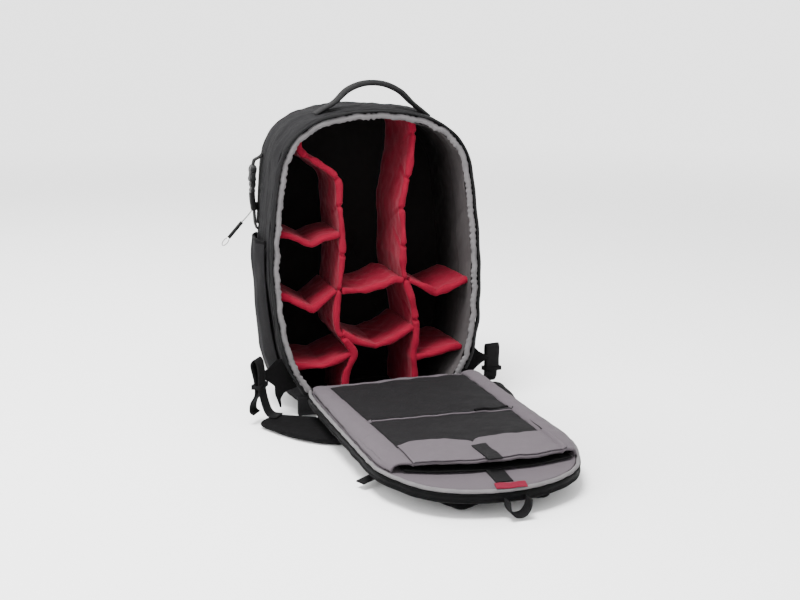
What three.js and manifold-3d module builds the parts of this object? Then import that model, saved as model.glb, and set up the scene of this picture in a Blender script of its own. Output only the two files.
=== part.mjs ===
// A camera backpack standing open on its base. Its back panel is unzipped and folded down
// to the front, and shows the padded dividers inside and the pockets on the panel.
// Millimetres, +Z up, the opening faces -Y. The origin is the centre of the base.
import * as THREE from "three";
import { mergeVertices } from "three/addons/utils/BufferGeometryUtils.js";
import Module from "manifold-3d";

const wasm = await Module();
wasm.setup();

const degrees = Math.PI / 180;
const fitGap = 0.4;

// Main body
const bodyWidth = 341;
const bodyHeight = 478;
const bodyDepth = 165;
const bodyLean = 3 * degrees;
const shellWall = 9;
const backWall = 12;
const liningWall = 2;
const sillHeight = 36;
const sillWall = 10;
const pocketBulge = 45;
const frontY = -(bodyDepth + pocketBulge) / 2;

// Opened panel
const flapWidth = 296;
const flapLength = 458;
const flapTurn = 3.4 * degrees;
const flapSlope = 1.8 * degrees;
const hingeHeight = 50;
const hingeShift = 18;
const hingeClearance = 10;
const hingeClothLeft = -104;
const hingeClothRight = 112;
const hingeClothThickness = 1.6;
const hingeClothLap = 16;
const panelThickness = 11;
const flapLiningThickness = 2.4;
const backPadThickness = 9.5;
const lumbarPadThickness = 17.3;
const padCorner = 34;

// Rim, piping and zips
const bindingWidth = 10;
const bindingDepth = 8;
const zipTapeWidth = 11;
const zipTapeThickness = 2;
const flapPipingRadius = 2.8;

// Dividers
const dividerThickness = 8;
const dividerRecess = 12;

// Laptop sleeve and the pockets on it
const sleeveThickness = 4;
const sleeveMouth = flapLength * 0.8515;
const sleeveRise = 13;
const sleeveSideGap = 10;
const pocketSheet = 1.2;
const organizerSheet = 1.6;
const organizerDip = 16;
const organizerDroop = 10;
const meshZipWidth = 8;

// Webbing and straps
const webbingThickness = 2.4;
const handleWidth = 24;
const handleThickness = 5;
const handleRise = 39;
const handleShift = 9;
const handleHalfSpan = 75;
const handleTail = 18;
const handleSetback = 45;
const hipPadThickness = 15;
const hipWingWidth = 120;
const hipWebbingRise = 88;
const keeperHeight = 7;
const keeperWall = 1.8;
const beltWebThickness = 3;
const beltWebDepth = 14;
const hipWebbingWidth = 25;
const sideStrapWidth = 20;
const sideStrapSetback = 43;
const sidePocketBulge = 12;
const shoulderStrapWidth = 60;
const haulLoopWidth = 18;
const closureStrapWidth = 24;

// Zip pull
const pullCordDiameter = 2.2;
const pullGripDiameter = 6;
const pullSetback = 25;

// Outline of the body's front, from the base to the top, as shares of height and half width.
// The soft shell sags, so its left and right sides differ a little. Behind the rim the skin
// fills out to the share in the last column.
const bodyOutline = [
  { rise: 0, left: 0.5, right: 0.56, behind: 0.58 },
  { rise: 0.02, left: 0.6, right: 0.66, behind: 0.74 },
  { rise: 0.084, left: 0.725, right: 0.79, behind: 0.89 },
  { rise: 0.178, left: 0.87, right: 0.92, behind: 0.94 },
  { rise: 0.314, left: 0.96, right: 0.988, behind: 0.97 },
  { rise: 0.502, left: 0.995, right: 1, behind: 0.995 },
  { rise: 0.682, left: 0.955, right: 0.964, behind: 0.965 },
  { rise: 0.824, left: 0.887, right: 0.912, behind: 0.925 },
  { rise: 0.895, left: 0.8, right: 0.821, behind: 0.865 },
  { rise: 0.95, left: 0.64, right: 0.651, behind: 0.73 },
  { rise: 0.985, left: 0.4, right: 0.4, behind: 0.48 },
  { rise: 1, left: 0, right: 0, behind: 0 },
];

// Sections of the body behind its front edge: share of depth, then of width and height,
// and how far the skin has filled out.
const bodySections = [
  { depth: 0, wide: 1, tall: 1, lift: 0, filled: 0 },
  { depth: 0.13, wide: 0.999, tall: 1.0015, lift: 0, filled: 0.12 },
  { depth: 0.35, wide: 0.997, tall: 1.004, lift: 0, filled: 0.8 },
  { depth: 0.55, wide: 0.988, tall: 1.004, lift: 0, filled: 1 },
  { depth: 0.75, wide: 0.978, tall: 1.004, lift: 0, filled: 1 },
  { depth: 0.93, wide: 0.955, tall: 0.99, lift: 0, filled: 1 },
  { depth: 1, wide: 0.905, tall: 0.95, lift: 0.015, filled: 1 },
];

// Sections of the pocket behind the body, in the same shares of the body's width and height.
const frontPocketSections = [
  { depth: 0, wide: 0.84, tall: 0.84, lift: 0.035 },
  { depth: 0.3, wide: 0.86, tall: 0.85, lift: 0.03 },
  { depth: 0.75, wide: 0.81, tall: 0.8, lift: 0.04 },
  { depth: 1, wide: 0.7, tall: 0.69, lift: 0.08 },
];

// Outline of the opened panel, from its hinge to its far end, as shares of length and half width.
const flapOutline = [
  { rise: 0, left: 0.9, right: 0.9 },
  { rise: 0.02, left: 0.955, right: 0.955 },
  { rise: 0.1, left: 0.99, right: 0.99 },
  { rise: 0.3, left: 1, right: 1 },
  { rise: 0.5, left: 1, right: 1 },
  { rise: 0.66, left: 1, right: 1 },
  { rise: 0.74, left: 0.985, right: 0.985 },
  { rise: 0.82, left: 0.9, right: 0.9 },
  { rise: 0.9, left: 0.76, right: 0.76 },
  { rise: 0.95, left: 0.58, right: 0.58 },
  { rise: 0.985, left: 0.33, right: 0.33 },
  { rise: 1, left: 0, right: 0 },
];

// Lines of the padded dividers seen from the front: shares of half width and height.
const dividerLines = {
  divider_long_left: [
    { across: -0.7, rise: 0.99 },
    { across: -0.686, rise: 0.908 },
    { across: -0.66, rise: 0.868 },
    { across: -0.48, rise: 0.824 },
    { across: -0.33, rise: 0.776 },
    { across: -0.315, rise: 0.686 },
    { across: -0.3, rise: 0.6 },
    { across: -0.305, rise: 0.51 },
    { across: -0.34, rise: 0.416 },
    { across: -0.372, rise: 0.33 },
    { across: -0.355, rise: 0.272 },
    { across: -0.27, rise: 0.232 },
    { across: -0.212, rise: 0.194 },
    { across: -0.25, rise: 0.16 },
    { across: -0.3, rise: 0.11 },
    { across: -0.31, rise: 0 },
  ],
  divider_long_right: [
    { across: 0.33, rise: 1.02 },
    { across: 0.4, rise: 0.931 },
    { across: 0.385, rise: 0.866 },
    { across: 0.34, rise: 0.776 },
    { across: 0.282, rise: 0.686 },
    { across: 0.294, rise: 0.605 },
    { across: 0.282, rise: 0.504 },
    { across: 0.305, rise: 0.435 },
    { across: 0.364, rise: 0.366 },
    { across: 0.4, rise: 0.297 },
    { across: 0.4, rise: 0.228 },
    { across: 0.375, rise: 0.17 },
    { across: 0.385, rise: 0.11 },
    { across: 0.37, rise: 0 },
  ],
};

// The cross dividers run between a wall and a long divider, or between the two long dividers.
const crossDividers = [
  {
    name: "divider_left_upper",
    line: [
      { across: -1, rise: 0.613 },
      { across: -0.8, rise: 0.6 },
      { across: -0.595, rise: 0.567 },
      { across: -0.48, rise: 0.584 },
      { across: -0.3, rise: 0.598 },
    ],
  },
  {
    name: "divider_left_middle",
    line: [
      { across: -1, rise: 0.42 },
      { across: -0.8, rise: 0.39 },
      { across: -0.6, rise: 0.353 },
      { across: -0.47, rise: 0.385 },
      { across: -0.345, rise: 0.416 },
    ],
  },
  {
    name: "divider_left_lower",
    line: [
      { across: -1, rise: 0.2 },
      { across: -0.8, rise: 0.168 },
      { across: -0.52, rise: 0.16 },
      { across: -0.34, rise: 0.18 },
      { across: -0.212, rise: 0.197 },
    ],
  },
  {
    name: "divider_middle_upper",
    line: [
      { across: -0.34, rise: 0.41 },
      { across: -0.1, rise: 0.405 },
      { across: 0.08, rise: 0.42 },
      { across: 0.2, rise: 0.437 },
      { across: 0.31, rise: 0.43 },
    ],
  },
  {
    name: "divider_middle_lower",
    line: [
      { across: -0.35, rise: 0.275 },
      { across: -0.18, rise: 0.235 },
      { across: 0, rise: 0.215 },
      { across: 0.2, rise: 0.235 },
      { across: 0.4, rise: 0.275 },
    ],
  },
  {
    name: "divider_right_upper",
    line: [
      { across: 0.345, rise: 0.43 },
      { across: 0.5, rise: 0.405 },
      { across: 0.61, rise: 0.381 },
      { across: 0.74, rise: 0.398 },
      { across: 1, rise: 0.43 },
    ],
  },
  {
    name: "divider_right_lower",
    line: [
      { across: 0.375, rise: 0.165 },
      { across: 0.55, rise: 0.171 },
      { across: 0.7, rise: 0.186 },
      { across: 0.8, rise: 0.192 },
      { across: 1, rise: 0.184 },
    ],
  },
];

const outlineSteps = 48;
const rimSteps = 58;

const colours = {
  shellFabric: { color: 0x2f2f31, roughness: 0.85, metalness: 0 },
  lining: { color: 0x8b868b, roughness: 0.9, metalness: 0 },
  divider: { color: 0xa81e33, roughness: 0.92, metalness: 0 },
  mesh: { color: 0x262427, roughness: 0.95, metalness: 0 },
  webbing: { color: 0x242426, roughness: 0.8, metalness: 0 },
  buckle: { color: 0x18181a, roughness: 0.45, metalness: 0 },
  zip: { color: 0x1c1c1e, roughness: 0.6, metalness: 0 },
  cord: { color: 0xb5b5b5, roughness: 0.6, metalness: 0 },
  label: { color: 0xb01c34, roughness: 0.8, metalness: 0 },
};

// Reads a column of a table at a value of its first column, with straight lines between rows.
function tableAt(rows, key, column, value) {
  const last = rows.length - 1;
  if (value <= rows[0][key]) return rows[0][column];
  if (value >= rows[last][key]) return rows[last][column];
  const next = rows.findIndex((row) => row[key] >= value);
  const low = rows[next - 1];
  const high = rows[next];
  const share = (value - low[key]) / (high[key] - low[key]);
  return low[column] + (high[column] - low[column]) * share;
}

// The closed outline that a table describes, starting at the left end of its flat edge.
function closedOutline(rows, halfWidth, height, steps) {
  const right = rows.map(
    (row) => new THREE.Vector2(row.right * halfWidth, row.rise * height),
  );
  const left = rows
    .slice(0, -1)
    .reverse()
    .map((row) => new THREE.Vector2(-row.left * halfWidth, row.rise * height));
  const path = new THREE.Path();
  path.moveTo(left[left.length - 1].x, 0);
  path.lineTo(right[0].x, 0);
  path.splineThru([...right.slice(1), ...left]);
  return path.getSpacedPoints(steps).slice(0, -1);
}

// Moves every point of a closed, counterclockwise outline inwards.
function insetOutline(points, distance) {
  const count = points.length;
  return points.map((point, i) => {
    const before = points[(i + count - 1) % count];
    const after = points[(i + 1) % count];
    const along = after.clone().sub(before).normalize();
    return new THREE.Vector2(
      point.x - along.y * distance,
      point.y + along.x * distance,
    );
  });
}

// A closed solid whose skin runs through rings of equal count, capped at both ends.
function ringSolid(rings) {
  const count = rings[0].length;
  const positions = rings.flat().flatMap((p) => [p.x, p.y, p.z]);
  const indices = [];
  for (let r = 0; r + 1 < rings.length; r += 1) {
    for (let i = 0; i < count; i += 1) {
      const a = r * count + i;
      const b = r * count + ((i + 1) % count);
      indices.push(a, b, b + count, a, b + count, a + count);
    }
  }
  const capCentre = (ring) =>
    ring
      .reduce((sum, p) => sum.add(p), new THREE.Vector3())
      .divideScalar(count);
  const last = rings.length - 1;
  const ends = [
    { ring: 0, flip: true },
    { ring: last, flip: false },
  ];
  for (const end of ends) {
    const centre = positions.length / 3;
    const middle = capCentre(rings[end.ring]);
    positions.push(middle.x, middle.y, middle.z);
    for (let i = 0; i < count; i += 1) {
      const a = end.ring * count + i;
      const b = end.ring * count + ((i + 1) % count);
      indices.push(...(end.flip ? [b, a, centre] : [a, b, centre]));
    }
  }
  return outwardGeometry(positions, indices);
}

// Makes a geometry whose faces point out, whichever way its rings ran.
function outwardGeometry(positions, indices) {
  const at = (i) =>
    new THREE.Vector3(
      positions[3 * i],
      positions[3 * i + 1],
      positions[3 * i + 2],
    );
  let volume = 0;
  for (let i = 0; i < indices.length; i += 3) {
    const [a, b, c] = [indices[i], indices[i + 1], indices[i + 2]].map(at);
    volume += a.dot(b.cross(c));
  }
  const order = volume < 0 ? [0, 2, 1] : [0, 1, 2];
  const turned = [];
  for (let i = 0; i < indices.length; i += 3)
    turned.push(...order.map((k) => indices[i + k]));
  const geometry = new THREE.BufferGeometry();
  geometry.setAttribute(
    "position",
    new THREE.Float32BufferAttribute(positions, 3),
  );
  geometry.setIndex(turned);
  return geometry;
}

// A sheet of cloth: surface(a, b) gives its middle point and its thickness direction.
function sheetSolid(surface, across, along, thickness) {
  const upper = [];
  const lower = [];
  for (let j = 0; j <= along; j += 1) {
    for (let i = 0; i <= across; i += 1) {
      const { point, normal, thin = 1 } = surface(i / across, j / along);
      const step = normal.clone().multiplyScalar((thickness * thin) / 2);
      upper.push(point.clone().add(step));
      lower.push(point.clone().sub(step));
    }
  }
  const positions = [...upper, ...lower].flatMap((p) => [p.x, p.y, p.z]);
  const below = upper.length;
  const indices = [];
  const row = across + 1;
  const quad = (a, b, c, d) => indices.push(a, b, c, a, c, d);
  for (let j = 0; j < along; j += 1) {
    for (let i = 0; i < across; i += 1) {
      const a = j * row + i;
      quad(a, a + 1, a + 1 + row, a + row);
      quad(below + a, below + a + row, below + a + 1 + row, below + a + 1);
    }
    const left = j * row;
    const right = left + across;
    quad(left, left + row, below + left + row, below + left);
    quad(right + row, right, below + right, below + right + row);
  }
  for (let i = 0; i < across; i += 1) {
    const near = i;
    const far = along * row + i;
    quad(near + 1, near, below + near, below + near + 1);
    quad(far, far + 1, below + far + 1, below + far);
  }
  return outwardGeometry(positions, indices);
}

// A band of a given section swept along points. Each station gives its two section directions.
function sweptSolid(stations, section) {
  return ringSolid(
    stations.map(({ point, first, second, scale = 1 }) =>
      section.map(([a, b]) =>
        point
          .clone()
          .addScaledVector(first, a * scale)
          .addScaledVector(second, b),
      ),
    ),
  );
}

function bevelledSection(width, thickness, bevel) {
  const w = width / 2;
  const t = thickness / 2;
  return [
    [w, -t + bevel],
    [w, t - bevel],
    [w - bevel, t],
    [-w + bevel, t],
    [-w, t - bevel],
    [-w, -t + bevel],
    [-w + bevel, -t],
    [w - bevel, -t],
  ];
}

function roundSection(radiusA, radiusB, sides) {
  return Array.from({ length: sides }, (_, i) => {
    const angle = (2 * Math.PI * i) / sides;
    return [radiusA * Math.cos(angle), radiusB * Math.sin(angle)];
  });
}

// Webbing or a padded board along a line, with its width lying along one direction.
function webbing(points, across, width, thickness, steps, options = {}) {
  const curve = new THREE.CatmullRomCurve3(points, false, "centripetal");
  const side = across.clone().normalize();
  const stations = curve.getSpacedPoints(steps).map((point, i) => {
    const tangent = curve.getTangentAt(i / steps);
    const second = tangent.clone().cross(side).normalize();
    const first = second.clone().cross(tangent).normalize();
    const scale = options.taper ? options.taper(i / steps) : 1;
    return { point, first, second, scale };
  });
  const bevel = options.bevel ?? thickness * 0.3;
  return sweptSolid(stations, bevelledSection(width, thickness, bevel));
}

function toSolid(geometry) {
  const bare = geometry.clone();
  bare.deleteAttribute("normal");
  bare.deleteAttribute("uv");
  const merged = mergeVertices(bare, 1e-4);
  return new wasm.Manifold(
    new wasm.Mesh({
      numProp: 3,
      vertProperties: new Float32Array(merged.attributes.position.array),
      triVerts: new Uint32Array(merged.index.array),
    }),
  );
}

function toGeometry(solid) {
  const mesh = solid.getMesh();
  const geometry = new THREE.BufferGeometry();
  geometry.setAttribute(
    "position",
    new THREE.Float32BufferAttribute(mesh.vertProperties, 3),
  );
  geometry.setIndex(new THREE.BufferAttribute(mesh.triVerts, 1));
  return geometry;
}

// Leans the upright body back about its base line.
function leanBack(geometry) {
  const shear = new THREE.Matrix4();
  shear.elements[9] = Math.tan(bodyLean);
  return geometry.applyMatrix4(shear);
}

function named(name, geometry, look) {
  const mesh = new THREE.Mesh(
    geometry,
    new THREE.MeshStandardMaterial(colours[look]),
  );
  mesh.name = name;
  return mesh;
}

function block(lowest, highest) {
  const size = highest.clone().sub(lowest);
  const geometry = new THREE.BoxGeometry(size.x, size.y, size.z);
  const middle = lowest.clone().add(highest).multiplyScalar(0.5);
  return geometry.translate(middle.x, middle.y, middle.z);
}

const v3 = (x, y, z) => new THREE.Vector3(x, y, z);
const alongX = v3(1, 0, 0);
const alongY = v3(0, 1, 0);
const alongZ = v3(0, 0, 1);

// Body rings

function filledOutline(filled) {
  return bodyOutline.map((row) => ({
    rise: row.rise,
    left: row.left + Math.max(0, row.behind - row.left) * filled,
    right: row.right + Math.max(0, row.behind - row.right) * filled,
  }));
}

function skinOutline(depth) {
  const share = depth / bodyDepth;
  return filledOutline(tableAt(bodySections, "depth", "filled", share));
}

function bodyRing(depth, inset, rows = bodyOutline) {
  const share = depth / bodyDepth;
  const wide = tableAt(bodySections, "depth", "wide", share);
  const tall = tableAt(bodySections, "depth", "tall", share);
  const lift = tableAt(bodySections, "depth", "lift", share) * bodyHeight;
  const outline = closedOutline(
    rows,
    (bodyWidth / 2) * wide,
    bodyHeight * tall - lift,
    outlineSteps,
  );
  return insetOutline(outline, inset).map((p) =>
    v3(p.x, frontY + depth, p.y + lift),
  );
}

// The body's outer skin at a depth.
function skinRing(depth, inset) {
  return bodyRing(depth, inset, skinOutline(depth));
}

// How far the body's left side reaches out at a height and a depth.
function sideReach(height, depth) {
  const wide = tableAt(bodySections, "depth", "wide", depth / bodyDepth);
  const tall = tableAt(bodySections, "depth", "tall", depth / bodyDepth);
  const loop = closedOutline(
    skinOutline(depth),
    (bodyWidth / 2) * wide,
    bodyHeight * tall,
    outlineSteps * 2,
  );
  const rows = loop
    .filter((p) => p.x < 0)
    .map((p) => ({ height: p.y, half: -p.x }))
    .sort((a, b) => a.height - b.height);
  return tableAt(rows, "height", "half", height);
}

// Height of the body's top at a place across it.
function topHeight(x, depth) {
  const tall = tableAt(bodySections, "depth", "tall", depth / bodyDepth);
  const loop = closedOutline(
    skinOutline(depth),
    bodyWidth / 2,
    bodyHeight * tall,
    outlineSteps * 2,
  );
  const rows = loop
    .filter((p) => p.y > bodyHeight * 0.7 && p.x >= 0)
    .map((p) => ({ across: p.x, height: p.y }))
    .sort((a, b) => a.across - b.across);
  return tableAt(rows, "across", "height", Math.abs(x));
}

const cavityDepth = bodyDepth - backWall;
const innerDepths = [0, 0.35, 0.75].map((share) => share * bodyDepth);

function cavitySolid(front, back, inset) {
  const depths = [front, ...innerDepths.slice(1), back];
  return toSolid(ringSolid(depths.map((depth) => bodyRing(depth, inset))));
}

function sillBlock(grow) {
  return toSolid(
    block(
      v3(-bodyWidth, frontY - 50, -50),
      v3(bodyWidth, frontY + sillWall + grow, sillHeight + grow),
    ),
  );
}

function makeShell() {
  const outer = toSolid(
    ringSolid(bodySections.map((row) => skinRing(row.depth * bodyDepth, 0))),
  );
  const cavity = cavitySolid(-1, cavityDepth, shellWall);
  const sill = outer.intersect(sillBlock(0));
  return toGeometry(outer.subtract(cavity).add(sill));
}

function makeLining() {
  const outerInset = shellWall + fitGap;
  const back = cavityDepth - fitGap;
  const outer = cavitySolid(1, back, outerInset);
  const inner = cavitySolid(0, back - liningWall, outerInset + liningWall);
  return toGeometry(outer.subtract(inner).subtract(sillBlock(fitGap)));
}

const roomInset = shellWall + liningWall + 2 * fitGap;
const roomBack = cavityDepth - liningWall - 2 * fitGap;

function roomSolid() {
  return cavitySolid(dividerRecess, roomBack, roomInset).subtract(
    sillBlock(fitGap),
  );
}

function dividerBoard(line, thickness) {
  const points = line.map((row) =>
    v3(
      (row.across * bodyWidth) / 2,
      frontY + bodyDepth / 2,
      row.rise * bodyHeight,
    ),
  );
  const steps = line.length * 3;
  return webbing(points, alongY, bodyDepth, thickness, steps, { bevel: 1.5 });
}

// The part of the rim that the zip follows, from the right end of the sill over the top to the left.
function rimStations(outlineRows, halfWidth, height, start, steps) {
  const outline = closedOutline(outlineRows, halfWidth, height, steps);
  const kept = outline.filter((p) => p.y > start);
  return kept.map((point, i) => {
    const before = kept[Math.max(0, i - 1)];
    const after = kept[Math.min(kept.length - 1, i + 1)];
    const along = after.clone().sub(before).normalize();
    return { point, inward: new THREE.Vector2(-along.y, along.x) };
  });
}

function bodyRim(start, inwardShift, depth, section, wave = 0) {
  const stations = rimStations(
    bodyOutline,
    bodyWidth / 2,
    bodyHeight,
    start,
    rimSteps,
  );
  return sweptSolid(
    stations.map(({ point, inward }, i) => {
      const shift = inwardShift + wave * Math.sin(i * 1.9);
      return {
        point: v3(
          point.x + inward.x * shift,
          frontY + depth,
          point.y + inward.y * shift,
        ),
        first: v3(inward.x, 0, inward.y),
        second: alongY,
      };
    }),
    section,
  );
}

function makeRimBinding() {
  const shift = zipTapeThickness + 1.4 + bindingWidth / 2;
  const section = roundSection(bindingWidth / 2, bindingDepth / 2, 8);
  const start = sillHeight + 4;
  return bodyRim(start, shift, -bindingDepth / 2 - fitGap, section, 0.9);
}

function makeBodyZip() {
  const section = bevelledSection(zipTapeThickness, zipTapeWidth, 0.5);
  const start = hingeHeight + 8;
  const depth = -zipTapeWidth / 2 - fitGap;
  return bodyRim(start, zipTapeThickness / 2, depth, section);
}

function makeHandle() {
  const middle = handleShift;
  const halfSpan = handleHalfSpan;
  const tail = handleTail;
  const depth = handleSetback;
  const seat = handleThickness / 2 + fitGap + 0.6;
  const rear = depth + handleWidth / 2;
  const y = frontY + depth;
  const onTop = (x) => v3(x, y, topHeight(x, rear) + seat);
  const crest = bodyHeight + handleRise;
  const rise = (x, share) => {
    const base = topHeight(x, rear) + seat;
    return v3(x, y, base + (crest - base) * share);
  };
  const left = middle - halfSpan;
  const right = middle + halfSpan;
  const points = [
    onTop(left - tail),
    onTop(left - tail * 0.3),
    rise(left + halfSpan * 0.205, 0.24),
    rise(left + halfSpan * 0.487, 0.72),
    rise(middle - halfSpan * 0.154, 1),
    rise(middle + halfSpan * 0.256, 0.97),
    rise(right - halfSpan * 0.385, 0.66),
    rise(right - halfSpan * 0.128, 0.24),
    onTop(right + tail * 0.4),
    onTop(right + tail),
  ];
  return webbing(points, alongY, handleWidth, handleThickness, 30);
}

// The closed pocket on the far side of the body.
function frontPocketRing(share, inset, shrink = 1) {
  const wide = tableAt(frontPocketSections, "depth", "wide", share) * shrink;
  const tall = tableAt(frontPocketSections, "depth", "tall", share) * shrink;
  const lift =
    tableAt(frontPocketSections, "depth", "lift", share) * bodyHeight;
  const outline = closedOutline(
    filledOutline(1),
    (bodyWidth / 2) * wide,
    bodyHeight * tall,
    outlineSteps,
  );
  const y = frontY + bodyDepth + fitGap + share * (pocketBulge - fitGap);
  return insetOutline(outline, inset).map((p) => v3(p.x, y, p.y + lift));
}

function makeFrontPocket() {
  return ringSolid(
    frontPocketSections.map((row) => frontPocketRing(row.depth, 0)),
  );
}

function makeFrontPocketZip() {
  const shrink = 0.86;
  const tape = 9;
  const ring = frontPocketRing(1, 0, shrink);
  const y = ring[0].y + fitGap + zipTapeThickness / 2;
  const floor = Math.min(...ring.map((p) => p.z));
  const height = Math.max(...ring.map((p) => p.z)) - floor;
  const kept = ring.filter((p) => p.z > floor + height * 0.45);
  const stations = kept.map((p, i) => {
    const before = kept[Math.max(0, i - 1)];
    const after = kept[Math.min(kept.length - 1, i + 1)];
    const along = after.clone().sub(before).normalize();
    return {
      point: v3(p.x, y, p.z),
      first: v3(-along.z, 0, along.x),
      second: alongY,
    };
  });
  return sweptSolid(stations, bevelledSection(tape, zipTapeThickness, 0.5));
}

// The stretch pocket low on the left side: sewn along its sides and foot, open at the top.
function makeSidePocket() {
  const frontDepth = bodyDepth * 0.206;
  const rearDepth = bodyDepth * 0.776;
  const foot = bodyHeight * 0.08;
  const mouth = bodyHeight * 0.569;
  const bulge = sidePocketBulge;
  const thickness = 2.4;
  return sheetSolid(
    (a, b) => {
      const depth = frontDepth + (rearDepth - frontDepth) * a;
      const height = foot + (mouth - foot) * b;
      const hang = Math.min(1, b * 4) * (1 - 0.3 * b);
      const swell = (1 - (2 * a - 1) ** 4) * hang * bulge;
      const reach = sideReach(height, depth);
      const gap = fitGap + 1 + thickness / 2;
      return {
        point: v3(-reach - gap - swell, frontY + depth, height),
        normal: v3(-1, 0, 0),
      };
    },
    8,
    10,
    thickness,
  );
}

// The compression strap high on the left side, with its buckle standing off the body.
const sideStrapDepth = bodyDepth - sideStrapSetback;
const sideStrapTop = bodyHeight * 0.857;
const sideStrapFoot = bodyHeight * 0.594;
const sideStandOff = 14;

const sideSocketTop = sideStrapTop - 23;
const sideSocketFoot = sideSocketTop - 26;
const sidePlugFoot = sideSocketFoot - 18;

function onSide(height, off) {
  return v3(
    -sideReach(height, sideStrapDepth) - off,
    frontY + sideStrapDepth,
    height,
  );
}

function sideWebbing(rows) {
  const points = rows.map(([height, off]) => onSide(height, off));
  return webbing(points, alongY, sideStrapWidth, webbingThickness, 8);
}

const seatOff = webbingThickness / 2 + fitGap + 0.8;

function makeSideStrapTop() {
  return sideWebbing([
    [sideStrapTop, seatOff],
    [sideStrapTop - 10, seatOff + 2],
    [sideStrapTop - 22, sideStandOff],
  ]);
}

function makeSideStrapFoot() {
  return sideWebbing([
    [sidePlugFoot - 0.8, sideStandOff - 2],
    [sideStrapFoot + 30, seatOff + 6],
    [sideStrapFoot + 10, seatOff + 3.5],
    [sideStrapFoot, seatOff],
  ]);
}

function sideBlock(top, foot, width, thickness, off) {
  const points = [onSide(top, off), onSide(foot, off)];
  return webbing(points, alongY, width, thickness, 2, { bevel: 1.6 });
}


function makeSideSocket() {
  return sideBlock(sideSocketTop, sideSocketFoot, 27, 9, sideStandOff);
}

function makeSidePlug() {
  const off = sideStandOff - 1;
  return sideBlock(sideSocketFoot - fitGap, sidePlugFoot, 22, 7.5, off);
}

// The slider of the side zip, and the pull on its cord.
const pullDepth = bodyDepth - pullSetback;
const pullHeight = bodyHeight * 0.665;
const pullDirection = v3(-0.68, -0.12, -0.72).normalize();
const pullStart = 6;
const pullCordLength = 34;
const pullGripLength = 34;
const pullLoopLength = 15;

function pullPoint(distance, sag = 0) {
  const reach = sideReach(pullHeight, pullDepth);
  const seat = v3(-reach - pullStart, frontY + pullDepth, pullHeight);
  return seat.addScaledVector(pullDirection, distance).add(v3(0, 0, -sag));
}

function makeSlider() {
  const reach = sideReach(pullHeight, pullDepth);
  const y = frontY + pullDepth;
  return block(
    v3(-reach - pullStart, y - 4, pullHeight - 5),
    v3(-reach - fitGap - 0.8, y + 4, pullHeight + 7),
  );
}

function tube(points, diameter, steps, sides) {
  const curve = new THREE.CatmullRomCurve3(points, false, "centripetal");
  const stations = curve.getSpacedPoints(steps).map((point, i) => {
    const tangent = curve.getTangentAt(i / steps);
    const first = tangent.clone().cross(alongY).normalize();
    return { point, first, second: tangent.clone().cross(first).normalize() };
  });
  return sweptSolid(stations, roundSection(diameter / 2, diameter / 2, sides));
}

function makePullCord() {
  const far = pullCordLength;
  return tube(
    [
      pullPoint(pullCordDiameter / 2 + fitGap),
      pullPoint(far * 0.5, 0.8),
      pullPoint(far - fitGap),
    ],
    pullCordDiameter,
    8,
    8,
  );
}

function makePullGrip() {
  const far = pullCordLength + pullGripLength;
  return tube(
    [pullPoint(pullCordLength), pullPoint((pullCordLength + far) / 2), pullPoint(far)],
    pullGripDiameter,
    4,
    10,
  );
}

function makePullLoop() {
  const start = pullCordLength + pullGripLength + fitGap;
  const sideways = alongY.clone().cross(pullDirection).normalize();
  const spread = (distance, off) =>
    pullPoint(start + distance).addScaledVector(sideways, off);
  return tube(
    [
      spread(0, 1.4),
      spread(pullLoopLength * 0.4, 3.2),
      spread(pullLoopLength * 0.85, 3),
      spread(pullLoopLength, 0),
      spread(pullLoopLength * 0.85, -3),
      spread(pullLoopLength * 0.4, -3.2),
      spread(0, -1.4),
    ],
    pullCordDiameter * 0.8,
    18,
    8,
  );
}

// Opened panel. Across is +x, along runs from the hinge to -y, and up is +z, in its own frame.

function flapRing(inset, up) {
  const outline = closedOutline(
    flapOutline,
    flapWidth / 2,
    flapLength,
    outlineSteps,
  );
  return insetOutline(outline, inset).map((p) => v3(p.x, -p.y, up));
}

function flapHalf(along) {
  const rows = closedOutline(
    flapOutline,
    flapWidth / 2,
    flapLength,
    outlineSteps * 2,
  )
    .filter((p) => p.x >= 0)
    .map((p) => ({ along: p.y, half: p.x }))
    .sort((a, b) => a.along - b.along);
  return tableAt(rows, "along", "half", along);
}

const panelTop = -1;
const panelFoot = panelTop - panelThickness;

function makeFlapPanel() {
  return ringSolid([
    flapRing(12, panelFoot),
    flapRing(6, panelFoot + 2),
    flapRing(4.5, panelFoot + 5),
    flapRing(4.5, panelTop - 2),
    flapRing(8, panelTop),
  ]);
}

const flapLiningTop = panelTop + fitGap + flapLiningThickness;

function makeFlapLining() {
  return ringSolid([
    flapRing(8, panelTop + fitGap),
    flapRing(6.2, panelTop + fitGap + 0.8),
    flapRing(7.5, flapLiningTop),
  ]);
}

function flapRim(inwardShift, up, section, wave = 0) {
  const stations = rimStations(
    flapOutline,
    flapWidth / 2,
    flapLength,
    4,
    rimSteps,
  );
  return sweptSolid(
    stations.map(({ point, inward }, i) => {
      const shift = inwardShift + wave * Math.sin(i * 2.1);
      return {
        point: v3(
          point.x + inward.x * shift,
          -point.y - inward.y * shift,
          up,
        ),
        first: v3(inward.x, -inward.y, 0),
        second: alongZ,
      };
    }),
    section,
  );
}

function makeFlapBinding() {
  const section = roundSection(flapPipingRadius, flapPipingRadius, 8);
  return flapRim(flapPipingRadius, flapPipingRadius - 2.4, section, 0.25);
}

function makeFlapZip() {
  const section = bevelledSection(zipTapeThickness, zipTapeWidth, 0.5);
  const top = -2.4 - fitGap;
  return flapRim(zipTapeThickness / 2 + 0.6, top - zipTapeWidth / 2, section);
}

// Top of the laptop sleeve, as a height over the panel's own plane.
const sleeveFoot = flapLiningTop + fitGap;
const sleeveStart = 22;

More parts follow.
